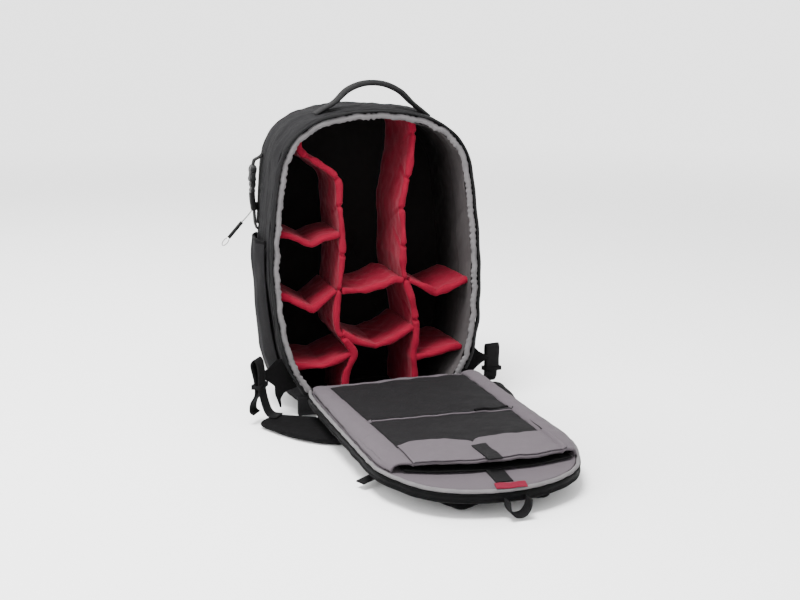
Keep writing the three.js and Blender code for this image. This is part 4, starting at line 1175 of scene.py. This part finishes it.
def make_divider(name, seed):
    thickness = 0.008 if "long" in name else 0.0072
    line = divider_centre(name)
    count = max(40, int(line_length(line) / 0.0016))
    line = even_line(line, count)
    along = np.gradient(line, axis=0)
    along /= np.linalg.norm(along, axis=1, keepdims=True)
    normal = np.stack([-along[:, 1], along[:, 0]], axis=1)
    front, back = 0.012, 0.1505
    half = thickness / 2
    pinches = divider_pinches.get(name, ())
    depths = np.linspace(back, front + half, 24)
    arc = np.linspace(0, math.pi, 9)[1:-1]
    section = [(d, -half) for d in depths]
    section += [(front + half - half * math.sin(a), -half * math.cos(a)) for a in arc]
    section += [(d, half) for d in depths[::-1]]
    section = np.array(section + section[:1])

    def place(u, v):
        i = np.round(v * (count - 1)).astype(int)
        j = np.round(u * (len(section) - 1)).astype(int)
        depth, off = section[j].T
        at = depth / body_depth
        wide, tall = (np.interp(at, sections[:, 0], sections[:, k]) for k in (1, 2))
        c, n = line[i], normal[i]
        base = np.stack([c[:, 0], depth, c[:, 1]], axis=1)
        near_front = np.exp(-(((depth - front) / 0.016) ** 2))
        dent = 0.0007 * ripple(base, 0.06, seed) + 0.0005 * ripple(base, 0.02, seed + 1)
        dent = dent + near_front * (0.0012 + 0.0007 * ripple(base, 0.03, seed + 3))
        edge = 0.0016 * ripple(base[:, [0, 2]], 0.045, seed + 2)
        for k, pinch in enumerate(pinches):
            slant = pinch + (depth - front) * (0.5 if k % 2 else -0.4)
            tuck = bump_at(c[:, 1], slant, 0.0028) * np.exp(-(((depth - front) / 0.045) ** 2))
            dent = dent - 0.0022 * tuck
            edge = edge + 0.0035 * tuck
        side = np.sign(off) * np.minimum(1, np.abs(off) / half)
        off = off + side * dent
        depth = depth + edge * np.exp(-(((depth - front) / 0.02) ** 2))
        x = (c[:, 0] + n[:, 0] * off) * wide
        z = (c[:, 1] + n[:, 1] * off) * tall
        return leaned(x, depth, z)

    divider = cloth_grid(name + "_pad", len(section) - 1, count - 1, place, flat=(0.29, line_length(line)))
    cap_ends(divider)
    smooth(divider)
    finished(divider, red_cloth, "divider_fabric", name)


for number, divider_name in enumerate(divider_lines):
    make_divider(divider_name, 100 + number * 10)


# Padding that swells under its cover


def puff(piece, voxel=0.005, cap=0.006, pressure=4.0):
    """Inflates a padded piece a little with a cloth simulation, and keeps the result."""
    modify(piece, "REMESH", mode="VOXEL", voxel_size=voxel)
    mesh = piece.data
    start = np.zeros(len(mesh.vertices) * 3, np.float32)
    mesh.vertices.foreach_get("co", start)
    select_only(piece)
    cloth_modifier = piece.modifiers.new("Cover", "CLOTH")
    settings = cloth_modifier.settings
    settings.use_pressure = True
    settings.uniform_pressure_force = pressure
    settings.effector_weights.gravity = 0
    scene = bpy.context.scene
    for number in range(1, 21):
        scene.frame_set(number)
    evaluated = piece.evaluated_get(bpy.context.evaluated_depsgraph_get())
    swollen = np.zeros_like(start)
    evaluated.data.vertices.foreach_get("co", swollen)
    piece.modifiers.remove(cloth_modifier)
    scene.frame_set(1)
    moved = (swollen - start).reshape(-1, 3)
    far = np.linalg.norm(moved, axis=1, keepdims=True)
    moved *= np.minimum(1, cap / np.maximum(far, 1e-9))
    mesh.vertices.foreach_set("co", (start.reshape(-1, 3) + moved).ravel())
    mesh.update()
    subdivide(piece)
    smooth(piece)


# Opened panel


def panel_ring(share, inset, up, shrink):
    x, along = np.moveaxis(sample(panel_loop, share), -1, 0)
    nx, n_along = np.moveaxis(sample(panel_inward, share), -1, 0)
    x = (x + nx * inset) * shrink
    along = panel_length / 2 + (along + n_along * inset - panel_length / 2) * shrink
    return panel_to_world(x, along, up)


def make_panel():
    # Each row is an inset from the edge, a height over the panel's plane and a share of the width
    rows = [(0.012, -0.012, s) for s in (0.003, 0.25, 0.5, 0.75, 0.93, 1)]
    rows += [(0.0085, -0.0113, 1), (0.006, -0.010, 1), (0.0048, -0.008, 1), (0.0045, -0.006, 1)]
    rows += [(0.0045, -0.004, 1), (0.005, -0.0025, 1), (0.0065, -0.0014, 1), (0.009, -0.001, 1)]
    rows += [(0.009, -0.001, s) for s in (0.97, 0.9, 0.7, 0.5, 0.25, 0.003)]
    table = np.array(rows)

    def place(u, v):
        i = np.round(v * (len(table) - 1)).astype(int)
        inset, up, shrink = table[i].T
        base = panel_ring(u, inset, up, shrink)
        folds = 0.0006 * ripple(base, 0.05, 41) * (shrink == 1)
        return panel_ring(u, inset + folds, up + folds * 0.5, shrink)

    panel = cloth_grid("panel_cover", 420, len(rows) - 1, place, closed=True, flat=(panel_round, 0.4))
    smooth(panel)
    finished(panel, strap_cloth, "shell_fabric", "flap_panel")

    rows = [(0.0082, -0.0004, 1), (0.0064, 0.0004, 1), (0.0062, 0.0011, 1)]
    rows += [(0.0075, 0.0017, 1), (0.011, 0.0018, 1)]
    rows += [(0.011, 0.0018, s) for s in np.linspace(0.98, 0.003, 34)]
    lining_rows = np.array(rows)

    def place_lining(u, v):
        i = np.round(v * (len(lining_rows) - 1)).astype(int)
        inset, up, shrink = lining_rows[i].T
        base = panel_ring(u, inset, up, shrink)
        folds = 0.0007 * np.abs(ripple(base, 0.06, 43)) * (up > 0.0015)
        return panel_ring(u, inset, up + folds, shrink)

    flat = (panel_round, 0.3)
    lining = cloth_grid("panel_lining", 420, len(rows) - 1, place_lining, flat=flat)
    cap_ends(lining, 1e-5)
    smooth(lining)
    finished(lining, panel_cloth, "flap_lining_fabric", "flap_lining")


def panel_rim(inset, up, height=0.004, count=640, wave=None):
    start, end = edge_shares(panel_loop, height)
    share = np.linspace(start, end, count)
    run = np.linspace(0, panel_round, count)[:, None]
    shift = inset if wave is None else inset + wave(run)
    centre = panel_point(share, shift, up)
    ahead = panel_point(share, shift + 0.001, up)
    inward = (ahead - centre) / 0.001
    upward = panel_to_world(0.0, 0.0, 1.0) - panel_to_world(0.0, 0.0, 0.0)
    return centre, inward, np.tile(upward, (count, 1)), run


def make_panel_rim():
    centre, inward, upward, run = panel_rim(0.0028, 0.0004, wave=lambda r: 0.0003 * ripple(r, 0.03, 51))
    thick = 1 + 0.06 * ripple(run, 0.02, 52)
    piping = swept("panel_piping", centre, inward, upward, round_section(0.0027, 0.0027, 12), scale=thick)
    smooth(piping)
    finished(piping, binding_cloth, "binding_tape", "flap_binding")
    centre, inward, upward, run = panel_rim(0.0016, -0.0082, wave=lambda r: 0.0003 * ripple(r, 0.05, 53))
    tape = swept("panel_zip_tape", centre, inward, upward, strap_section(0.0018, 0.0104))
    smooth(tape)
    finished(tape, tape_black, "zip_tape", "flap_zip")
    coil = zip_coil("panel_zip_coil", centre - upward * 0.0056 - inward * 0.0004, inward, upward)
    finished(coil, coil_black, "zip_tape")


def panel_sheet(name, left, right, near, far, up, columns, rows, thickness, material, slot, *nodes):
    """Cloth on the sleeve, between two lines across it: up(across, along) is its height."""

    def place(u, v):
        across = left(v) + (right(v) - left(v)) * u
        low, high = near(across), far(across)
        along = low + (high - low) * v
        return panel_to_world(across, along, up(across, along, u, v))

    piece = cloth_grid(name, columns, rows, place)
    if thickness:
        thicken(piece, thickness)
    smooth(piece)
    finished(piece, material, slot, *nodes)
    return piece


def even(value):
    return lambda v: value + 0 * v


mesh_left, mesh_right = -0.106, 0.105
mesh_near = 0.040
roll_half = 0.0128


def roll_centre(along):
    """How far from the panel's middle the padded rolls beside the mesh run."""
    return 0.1265 - 0.030 * (np.asarray(along) - 0.04)


def sleeve_surface(across, along):
    p = np.stack(np.broadcast_arrays(across, along), axis=-1)
    off_centre = (np.abs(across + 0.004) - roll_centre(along)) / roll_half
    tuck = 1 - 0.3 * bump_at(along, 0.262, 0.0016) * (across < 0)
    to_mouth = mouth_at(np.clip(across / 0.132, -1, 1)) - along
    full = 0.0052 * np.sqrt(np.maximum(0, 1 - off_centre**2))
    rolls = full * tuck * np.clip(to_mouth / 0.03, 0, 1) ** 0.5
    seam = 0.0012 * bump_at(off_centre, -1.1, 0.16)
    wrinkles = 0.0005 * ripple(p, 0.05, 61) + 0.0003 * ripple(p, 0.02, 62)
    return sleeve_top(across, along) + rolls - seam + wrinkles


def make_sleeve():
    def place(u, v):
        share = np.sin((2 * u - 1) * math.pi / 2)
        along = sleeve_start + (mouth_at(share) - sleeve_start) * v
        across = share * sleeve_half(along)
        return panel_to_world(across, along, sleeve_surface(across, along))

    sleeve = cloth_grid("laptop_sleeve_cover", 150, 150, place)
    thicken(sleeve, 0.0036)
    smooth(sleeve)
    finished(sleeve, panel_cloth, "flap_lining_fabric", "laptop_sleeve")


def make_pockets():
    def sag(across, along, u, v, seed, amount):
        p = np.stack([across * 1.0, along * 2.2], axis=-1)
        inner = np.clip(np.minimum(np.minimum(u, 1 - u) * 8, np.minimum(v, 1 - v) * 6), 0, 1)
        slack = inner * amount * np.maximum(0, 1 + 0.5 * ripple(p, 0.09, seed))
        return sleeve_surface(across, along) + 0.0032 + slack

    def left(along):
        return -(roll_centre(along) - roll_half) - 0.004

    def near_left(v):
        return left(mesh_near + (0.205 - mesh_near) * v)

    def far_left(v):
        return left(0.205 + 0.105 * v)

    near = panel_sheet(
        "mesh_pocket_near_cover", near_left, even(mesh_right),
        lambda x: mesh_near + 0 * x, lambda x: mesh_line(x) - 0.0046,
        lambda x, a, u, v: sag(x, a, u, v, 71, 0.0016), 120, 80, 0.0008,
        black_mesh, "mesh_fabric", "mesh_pocket_near",
    )
    far = panel_sheet(
        "mesh_pocket_far_cover", far_left, even(mesh_right),
        lambda x: mesh_line(x) + 0.0046, lambda x: organizer_edge(x) + 0.004,
        lambda x, a, u, v: sag(x, a, u, v, 72, 0.0012), 120, 60, 0.0008,
        black_mesh, "mesh_fabric", "mesh_pocket_far",
    )
    organizer = panel_sheet(
        "organizer_cover", even(mesh_left), even(mesh_right),
        organizer_edge, lambda x: mouth_at((x + 0.004) / 0.128) - 0.002,
        lambda x, a, u, v: sag(x, a, u, v, 73, 0.0009) + 0.0016 * np.clip(v * 14, 0, 1), 160, 50, 0.0014,
        panel_cloth, "flap_lining_fabric", "organizer_pocket",
    )
    panel_sheet(
        "hook_patch", even(-0.0165), even(0.0045),
        lambda x: 0.351 + 0 * x, lambda x: 0.406 + 0 * x,
        lambda x, a, u, v: sleeve_surface(x, a) + 0.0068, 16, 30, 0.0016,
        black_mesh, "mesh_fabric", "sleeve_patch",
    )
    # A black sheet inside the sleeve's mouth: painted shade for the sleeve's shadowed interior.
    inner = panel_sheet(
        "sleeve_mouth_painted_shade_sheet", even(-0.118), even(0.112),
        lambda x: mouth_at(x / 0.132) - 0.09, lambda x: mouth_at(x / 0.132) + 0.0005,
        lambda x, a, u, v: 0.0052 + 0.0004 * np.sin(x * 90), 60, 30, 0.0012,
        strap_cloth, "mesh_fabric",
    )
    across = np.linspace(mesh_left, mesh_right, 200)
    line = mesh_line(across)
    edge = panel_to_world(across, line, sleeve_surface(across, line) + 0.0042)
    first = np.tile(panel_to_world(0.0, 1.0, 0.0) - panel_to_world(0.0, 0.0, 0.0), (200, 1))
    up = np.tile(panel_to_world(0.0, 0.0, 1.0) - panel_to_world(0.0, 0.0, 0.0), (200, 1))
    tape = swept("mesh_zip_tape", edge, first, up, strap_section(0.0085, 0.0016))
    smooth(tape)
    finished(tape, panel_cloth, "flap_lining_fabric", "mesh_pocket_zip")
    coil = zip_coil("mesh_zip_coil", edge + up * 0.0012, first, up, radius=0.0012)
    finished(coil, coil_black, "zip_tape")
    line = np.linspace(0, 1, 40)
    x = 0.046 + 0.054 * line
    along = mesh_line(x) + 0.002 - 0.008 * line
    centres = panel_to_world(x, along, sleeve_surface(x, along) + 0.0072 + 0.0006 * np.sin(line * 6))
    pull = swept("mesh_zip_puller", centres, first[:40], up[:40], strap_section(0.005, 0.0022))
    smooth(pull)
    finished(pull, strap_cloth, "buckle_plastic", "mesh_zip_pull")


def make_panel_end():
    run = np.linspace(0, 1, 40)
    along = 0.366 + 0.070 * run
    x = -0.001 - 0.006 * run
    centres = panel_to_world(x, along, 0.0036 + 0.0006 * np.sin(run * 5) + 0 * run)
    first, through = directions(centres, (1, 0, 0))
    tab = swept("closure_strap_band", centres, first, through, strap_section(0.024, 0.0024))
    smooth(tab)
    finished(tab, dark_webbing, "webbing", "closure_strap")

    def place(u, v):
        x = -0.023 + 0.041 * u - 0.004 * v
        along = 0.4385 + 0.0165 * v + 0.005 * u
        return panel_to_world(x, along, 0.0036 + 0.0005 * np.sin(u * 9 + v))

    label = cloth_grid("bare_label", 44, 14, place)
    thicken(label, 0.0009)
    smooth(label)
    finished(label, label_red, "label_fabric", "blank_label")


def moulded_bar(name, centres, firsts, seconds, widths, depths, corner=5, sides=32):
    """A bar with a squarish section, whose width and depth change along it."""
    turn = np.linspace(0, 2 * math.pi, sides, endpoint=False)
    a = np.sign(np.cos(turn)) * np.abs(np.cos(turn)) ** (2 / corner) / 2
    b = np.sign(np.sin(turn)) * np.abs(np.sin(turn)) ** (2 / corner) / 2
    wide = firsts * np.asarray(widths, float)[:, None]
    deep = seconds * np.asarray(depths, float)[:, None]
    piece = swept(name, centres, wide, deep, np.stack([a, b], axis=1))
    sharp_smooth(piece, 35)
    return piece


def pad_form(name, half, near, far, top, thickness, corner=0.034, count=90):
    """A flat pad with round corners, for the underside of the panel."""
    run = (1 - np.cos(np.linspace(0, math.pi, count))) / 2
    along = near + (far - near) * run
    from_end = np.minimum(along - near, far - along)
    into = corner - np.minimum(from_end, corner)
    widths = 2 * (half - corner + np.sqrt(np.maximum(corner**2 - into**2, 0)))
    edge = 1 - np.minimum(from_end / 0.006, 1)
    depths = thickness * np.maximum(np.sqrt(1 - edge**2), 0.35)
    centres = panel_to_world(0.0, along, top - thickness / 2)
    origin = panel_to_world(0.0, 0.0, 0.0)
    firsts = np.tile(panel_to_world(1.0, 0.0, 0.0) - origin, (count, 1))
    seconds = np.tile(panel_to_world(0.0, 0.0, 1.0) - origin, (count, 1))
    return moulded_bar(name, centres, firsts, seconds, widths, depths, corner=9, sides=72)


def make_under_pads():
    top = -0.0124
    upper = pad_form("back_pad_cover", 0.110, 0.2185, 0.426, top - 0.001, 0.008)
    puff(upper, 0.004, 0.002)
    finished(upper, pad_mesh, "pad_mesh", "back_pad")
    lumbar = pad_form("lumbar_pad_cover", 0.096, 0.024, 0.198, top - 0.001, 0.0155)
    puff(lumbar, 0.005, 0.002)
    finished(lumbar, pad_mesh, "pad_mesh", "lumbar_pad")

    strap_top = top - 0.0095 - 0.0004
    strap_thick = 0.050 - 0.430 * math.sin(panel_slope) + strap_top - 0.0008
    for side, label in ((-1, "left"), (1, "right")):
        rows = np.array([(0.284, 0.917), (0.419, 0.808), (0.486, 0.677), (0.446, 0.52)])
        line = smooth_line(rows * (panel_width / 2 * side, panel_length), 60)
        run = np.linspace(0, 1, 60)
        centres = panel_to_world(line[:, 0], line[:, 1], strap_top - strap_thick / 2)
        first, through = directions(centres, (1, 0, 0))
        section = round_section(1, 1, 28)
        section = np.sign(section) * np.abs(section) ** 0.5 * (0.028, strap_thick / 2 - 0.0012)
        width = (0.86 + 0.56 * run * (1 - run)) * np.clip(np.minimum(run, 1 - run) * 14 + 0.55, 0, 1) ** 0.5
        strap_piece = swept("shoulder_strap_cover_" + label, centres, first, through, section, scale=width)
        puff(strap_piece, 0.005, 0.0015)
        finished(strap_piece, strap_cloth, "strap_fabric", "shoulder_strap_" + label)
        up = strap_top - strap_thick / 2
        places = [(0.68, 0.588, up), (0.706, 0.594, up), (0.865, 0.631, up), (1.047, 0.659, up - 0.002)]
        points = [panel_to_world(side * a * panel_width / 2, b * panel_length, c) for a, b, c in places]
        across = panel_to_world(side * 0.35, -0.94, 0.0) - panel_to_world(0.0, 0.0, 0.0)
        web = strap("shoulder_webbing_band_" + label, points, across, 0.016, 0.0022, 40)
        finished(web, dark_webbing, "webbing", "shoulder_webbing_" + label)

    top = -0.008
    reach = panel_length + 0.008
    drop = 0.022
    rows = [(-0.017, 0), (-0.015, 0.55), (-0.008, 0.92), (0, 1), (0.007, 0.88), (0.012, 0.5), (0.013, 0)]
    points = [panel_to_world(x, reach, top - drop * share) for x, share in rows]
    across = panel_to_world(0.0, 1.0, 0.0) - panel_to_world(0.0, 0.0, 0.0)
    loop = strap("haul_loop_band", points, across, 0.018, 0.0022, 70)
    finished(loop, dark_webbing, "webbing", "haul_loop")


def make_hinge_cloth():
    lap = 0.050 + 0.0018 + 0.0004 + 0.0008
    left, right = -0.104, 0.112

    def place(u, v):
        x = left + (right - left) * u
        panel_y = body_front - 0.010 + (x - 0.018) * math.tan(panel_turn)
        y = [body_front + step + 0 * x for step in (0.009, 0.002, -0.003)]
        y += [panel_y - 0.0015, panel_y - 0.016]
        z = [0.0374, 0.0386, (0.036 + lap) / 2 + 0.002, lap, lap - 0.016 * math.sin(panel_slope)]
        at = np.array([0, 0.25, 0.5, 0.75, 1])
        where = np.clip(np.searchsorted(at, v) - 1, 0, 3)
        part = (v - at[where]) / 0.25
        ys = np.stack(y)
        yy = ys[where, np.arange(len(x))] * (1 - part) + ys[where + 1, np.arange(len(x))] * part
        zz = np.interp(v, at, z)
        fold = 0.0012 * ripple(np.stack([x, v * 0.03], axis=-1), 0.03, 81) * np.sin(math.pi * v)
        return np.stack([x, yy, zz + 0.0006 + fold], axis=-1)

    hinge = cloth_grid("hinge_cloth_cover", 130, 40, place)
    thicken(hinge, 0.0012)
    smooth(hinge)
    finished(hinge, panel_cloth, "flap_lining_fabric", "hinge_cloth")


make_panel()
make_panel_rim()
make_sleeve()
make_pockets()
make_panel_end()
make_under_pads()
make_hinge_cloth()


# Left side and far side of the body


def make_side_pocket():
    front, rear, foot, mouth, bulge = 0.034, 0.128, 0.0382, 0.272, 0.012

    def place(u, v):
        depth = front + (rear - front) * u
        height = foot + (mouth - foot) * v
        hang = np.minimum(1, v * 4) * (1 - 0.3 * v)
        swell = (1 - (2 * u - 1) ** 4) * hang * bulge
        p = np.stack([depth, height], axis=-1)
        fold = 0.0014 * ripple(p * (1, 0.4), 0.03, 91) * (1 - (2 * u - 1) ** 4) * (0.3 + 0.7 * v)
        return left_skin(height, depth, 0.0026 + swell + fold)

    pocket = cloth_grid("side_pocket_cover", 70, 120, place)
    thicken(pocket, 0.0018)
    smooth(pocket)
    finished(pocket, pocket_cloth, "pocket_fabric", "side_pocket")
    run = np.linspace(0, 1, 70)
    hem_line = place(run, np.ones(70))
    first, through = directions(hem_line, (0, 0, 1))
    hem = swept("side_pocket_hem", hem_line, first, through, strap_section(0.012, 0.0034))
    smooth(hem)
    finished(hem, strap_cloth, "binding_tape")
    low = left_skin(np.array([0.2655, 0.2705]), 0.107, 0.0105)
    tab = block("side_pocket_tag", (0.0009, 0.009, 0.0042), tuple(low.mean(axis=0)), bevel=0.0003, segments=1)
    finished(tab, cord_grey, "label_fabric")


def make_side_strap():
    depth = 0.122
    seat = 0.0024

    def web(name, rows, width, thickness, count, *nodes):
        points = [left_skin(height, depth, off) for height, off in rows]
        piece = strap(name, points, (0, 1, 0), width, thickness, count)
        finished(piece, black_webbing, "webbing", *nodes)

    rows = [(0.404, seat), (0.4015, seat), (0.3985, seat + 0.004), (0.3945, 0.0128), (0.387, 0.0142)]
    web("side_strap_top_band", rows, 0.020, 0.0022, 30, "side_strap_top")
    rows = [(0.344, 0.0125), (0.33, 0.011), (0.314, seat + 0.006), (0.294, seat + 0.0035), (0.284, seat)]
    web("side_strap_foot_band", rows, 0.020, 0.0022, 30, "side_strap_foot")
    rows = [(0.3425, 0.0132), (0.330, 0.0118), (0.3145, 0.0088)]
    web("side_strap_fold", rows, 0.0215, 0.0072, 24)

    def bar(name, top_height, foot_height, off, profile, shift=0.0):
        table = np.array(profile)
        at = np.linspace(top_height, foot_height, len(table))
        centres = left_skin(at, depth, off)
        centres[:, 1] += shift
        firsts = np.tile([0, 1.0, 0], (len(table), 1))
        outward = np.tile([-1.0, 0, 0], (len(table), 1))
        return moulded_bar(name, centres, firsts, outward, table[:, 0], table[:, 1])

    # Each row of a moulding is its width and its depth
    socket_rows = [(0.020, 0.006), (0.0245, 0.009), (0.026, 0.0105), (0.027, 0.011), (0.027, 0.011)]
    socket_rows += [(0.0262, 0.0105), (0.022, 0.0098), (0.0216, 0.0098), (0.0216, 0.0098)]
    socket_rows += [(0.022, 0.0098), (0.0265, 0.0105), (0.027, 0.011), (0.0268, 0.0105), (0.025, 0.009)]
    prong_rows = [(0.002, 0.004), (0.0036, 0.006), (0.004, 0.0064)]
    prong_rows += prong_rows[::-1]
    plug_rows = [(0.0205, 0.0075), (0.022, 0.009), (0.022, 0.0095), (0.0218, 0.009), (0.0212, 0.0066)]
    plug_rows += [(0.0215, 0.0062), (0.0218, 0.0085), (0.0215, 0.008), (0.019, 0.006)]
    socket = bar("side_buckle_female", 0.3868, 0.3606, 0.014, socket_rows)
    finished(socket, buckle_black, "buckle_plastic", "side_buckle_socket")
    prongs = [bar("prong", 0.3752, 0.3642, 0.014, prong_rows, shift) for shift in (-0.0118, 0.0118)]
    plug = bar("side_buckle_male", 0.3604, 0.3424, 0.013, plug_rows)
    plug = join("side_buckle_male", [plug, *prongs])
    finished(plug, buckle_black, "buckle_plastic", "side_buckle_plug")

    low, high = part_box("side_zip_slider")
    middle = (np.array(low) + np.array(high)) / 2
    size = np.array(high) - np.array(low)
    slider = block("side_zip_slider_body", tuple(size * (0.9, 0.95, 0.95)), tuple(middle), bevel=0.0011)
    finished(slider, buckle_black, "buckle_plastic", "side_zip_slider")
    heights = np.linspace(0.29, 0.385, 120)
    line = left_skin(heights, 0.140, 0.0008)
    first = np.tile([0, 1.0, 0], (120, 1))
    outward = np.tile([-1.0, 0, 0], (120, 1))
    tape = swept("side_zip_tape", line, first, outward, strap_section(0.012, 0.0016))
    smooth(tape)
    finished(tape, tape_black, "zip_tape")
    coil = zip_coil("side_zip_coil", line + outward * 0.001, first, outward)
    finished(coil, coil_black, "zip_tape")


pocket_sections = np.array(
    [
        # share of its depth, wide, tall, lift
        (0, 0.84, 0.84, 0.035),
        (0.3, 0.86, 0.85, 0.03),
        (0.75, 0.81, 0.8, 0.04),
        (1, 0.7, 0.69, 0.08),
    ]
)


def pocket_point(share, along, shrink):
    wide, tall, lift = (np.interp(along, pocket_sections[:, 0], pocket_sections[:, k]) for k in (1, 2, 3))
    x, z = np.moveaxis(sample(filled_loop, share), -1, 0)
    x = x * wide * shrink
    z = z * tall + lift * body_height
    middle = body_height * 0.46
    z = middle + (z - middle) * shrink
    y = body_front + body_depth + 0.0004 + along * 0.0446 + body_lean * z
    return np.stack([x, y, z], axis=-1)


def make_front_pocket():
    rows = [(0, s) for s in (0.003, 0.4, 0.8, 1)]
    rows += [(a, 1) for a in np.linspace(0.04, 0.94, 18)]
    rows += [(0.985, 0.99), (1, 0.965), (1, 0.94), (1, 0.9), (1, 0.875), (1, 0.86), (1, 0.845), (1, 0.82)]
    rows += [(1, s) for s in np.linspace(0.76, 0.003, 14)]
    table = np.array(rows)

    def place(u, v):
        i = np.round(v * (len(table) - 1)).astype(int)
        along, shrink = table[i].T
        p = pocket_point(u, along, shrink)
        puffed = 0.0035 * (1 - shrink**2) * (along == 1)
        fold = 0.0011 * ripple(p, 0.07, 95) + 0.0005 * ripple(p, 0.03, 96)
        keep = np.clip(along * 6, 0, 1)
        p[..., 1] = p[..., 1] + puffed + fold * keep - 0.0025 * bump_at(shrink, 0.86, 0.012) * (along == 1)
        p[..., 0] = p[..., 0] * (1 + fold * keep * 3)
        return p

    flat = (body_round * 0.8, 0.3)
    pocket = cloth_grid("front_pocket_cover", 360, len(rows) - 1, place, closed=True, flat=flat)
    smooth(pocket)
    finished(pocket, pocket_cloth, "pocket_fabric", "front_pocket")
    start, end = edge_shares(body_loop, body_height * 0.46)
    share = np.linspace(start, end, 420)
    line = pocket_point(share, 1.0, 0.86)
    line[:, 1] += 0.0012
    backward = np.tile([0, 1.0, 0], (420, 1))
    along = np.gradient(line, axis=0)
    along /= np.linalg.norm(along, axis=1, keepdims=True)
    first = np.cross(backward, along)
    tape = swept("front_pocket_zip_tape", line, first, backward, strap_section(0.0095, 0.0018))
    smooth(tape)
    finished(tape, tape_black, "zip_tape", "front_pocket_zip")
    coil = zip_coil("front_pocket_zip_coil", line + backward * 0.0012, first, backward)
    finished(coil, coil_black, "zip_tape")
    for side, at in (("left", 150), ("right", 182)):
        seat = line[at] + (0, 0.0034, 0)
        way = along[at] * (1 if side == "left" else -1)
        angle = math.atan2(-way[2], way[0])
        slider = block("front_pocket_slider", (0.0125, 0.004, 0.0085), (0, 0, 0))
        slider.rotation_euler = (0, angle, 0)
        slider.location = tuple(seat)
        select_only(slider)
        bpy.ops.object.transform_apply(location=True, rotation=True, scale=True)
        drop = [(0, 0.0022, -0.002), (0.001, 0.0044, -0.012)]
        drop += [(0.0015, 0.0036, -0.024), (0.001, 0.0032, -0.036)]
        points = [seat + np.array(step) for step in drop]
        tab = strap("front_pocket_tab", points, (1, 0, 0), 0.0075, 0.0016, 24)
        pull = join("front_pocket_pull_" + side, [slider, tab])
        finished(pull, buckle_black, "zip_tape")


make_side_pocket()
make_side_strap()
make_front_pocket()


# Hip belt

# A wing's line is across, ahead of the body and share of the full width of the padding.
# The free webbing stands on its post, and its loop is out of it and up, in loop lengths.
belt_wing_width = 0.120
belt_loop_length = 0.088
belt_rows = {
    "left": dict(
        line=[
            (-0.117, 0.24, 1), (-0.41, 0.223, 0.983), (-0.645, 0.19, 0.9),
            (-0.868, 0.12, 0.7), (-1.103, 0.035, 0.4),
        ],
        post=(-1.114, 0.0284, math.radians(56)),
        loop=[
            (0.295, 0), (0.136, 0.017), (0.045, 0.159), (-0.023, 0.455), (-0.034, 0.818),
            (-0.091, 1), (-0.17, 0.909), (-0.114, 0.636), (-0.102, 0.386), (-0.193, 0.205),
            (-0.205, 0.057), (-0.136, 0.011),
        ],
    ),
    "right": dict(
        line=[
            (0.328, 0.24, 1), (0.587, 0.218, 0.983), (0.856, 0.164, 0.9),
            (1.103, 0.0415, 0.7), (1.249, -0.155, 0.45),
        ],
        post=(1.232, -0.107, math.radians(8)),
        loop=[
            (-0.273, 0), (-0.114, 0.017), (-0.023, 0.136), (-0.011, 0.455), (-0.023, 0.705),
            (0.023, 0.773), (0.068, 0.705), (0.057, 0.455), (0.068, 0.273),
        ],
    ),
}


def belt_place(across, ahead):
    return np.array([across * body_width / 2, body_front - ahead * panel_length])


def make_hip_belt(side):
    wing = belt_rows[side]
    rows = np.array([(*belt_place(a, b), w * belt_wing_width) for a, b, w in wing["line"]])
    rows = smooth_line(rows, 80)
    along = np.gradient(rows[:, :2], axis=0)
    along /= np.linalg.norm(along, axis=1, keepdims=True)
    first = np.stack([-along[:, 1], along[:, 0], 0 * along[:, 0]], axis=1)
    up = np.tile([0, 0, 1.0], (80, 1))
    centres = np.stack([rows[:, 0], rows[:, 1], 0 * rows[:, 0] + 0.0072], axis=1)
    run = np.linspace(0, 1, 80)
    ends = np.clip(np.minimum(run, 1 - run) * 16 + 0.6, 0, 1) ** 0.5
    section = round_section(1, 1, 36)
    section = np.sign(section) * np.abs(section) ** 0.45 * (0.5, 0.0062)
    pad = swept("hip_wing_cover_" + side, centres, first * (rows[:, 2] * ends - 0.004)[:, None], up, section)
    puff(pad, 0.005, 0.0014)
    finished(pad, strap_cloth, "strap_fabric", "hip_wing_" + side)

    across, ahead, turn = wing["post"]
    place = belt_place(across, ahead)
    foot = 0.015 + 0.0004 + 0.0012
    out_way = np.array([math.sin(turn), -math.cos(turn), 0])
    side_way = np.array([math.cos(turn), math.sin(turn), 0])
    points = [
        np.array([*place, foot])
        + out_way * (out * belt_loop_length)
        + np.array([0, 0, up_share * belt_loop_length])
        for out, up_share in wing["loop"]
    ]
    loop = strap("hip_webbing_band_" + side, points, side_way, 0.025, 0.0023, 120)
    finished(loop, dark_webbing, "webbing", "hip_webbing_" + side)


def node_copy(name, node, voxel=None):
    """A merged copy of a CAD node's mesh, to be shaped further."""
    source = bpy.data.objects[node]
    mesh = source.data.copy()
    piece = bpy.data.objects.new(name, mesh)
    bpy.context.scene.collection.objects.link(piece)
    in_edit_mode(piece, lambda: bpy.ops.mesh.remove_doubles(threshold=1e-5))
    if voxel:
        modify(piece, "REMESH", mode="VOXEL", voxel_size=voxel)
    return piece


def make_belt_pieces():
    for side in ("left", "right"):
        keeper = node_copy("hip_keeper_band_" + side, "hip_keeper_" + side)
        modify(keeper, "BEVEL", width=0.0006, segments=2, limit_method="ANGLE")
        sharp_smooth(keeper)
        finished(keeper, tape_black, "webbing", "hip_keeper_" + side)
        web = node_copy("belt_web_cloth_" + side, "belt_web_" + side, 0.0011)
        subdivide(web)
        smooth(web)
        finished(web, strap_cloth, "webbing", "belt_web_" + side)


make_hip_belt("left")
make_hip_belt("right")
make_belt_pieces()
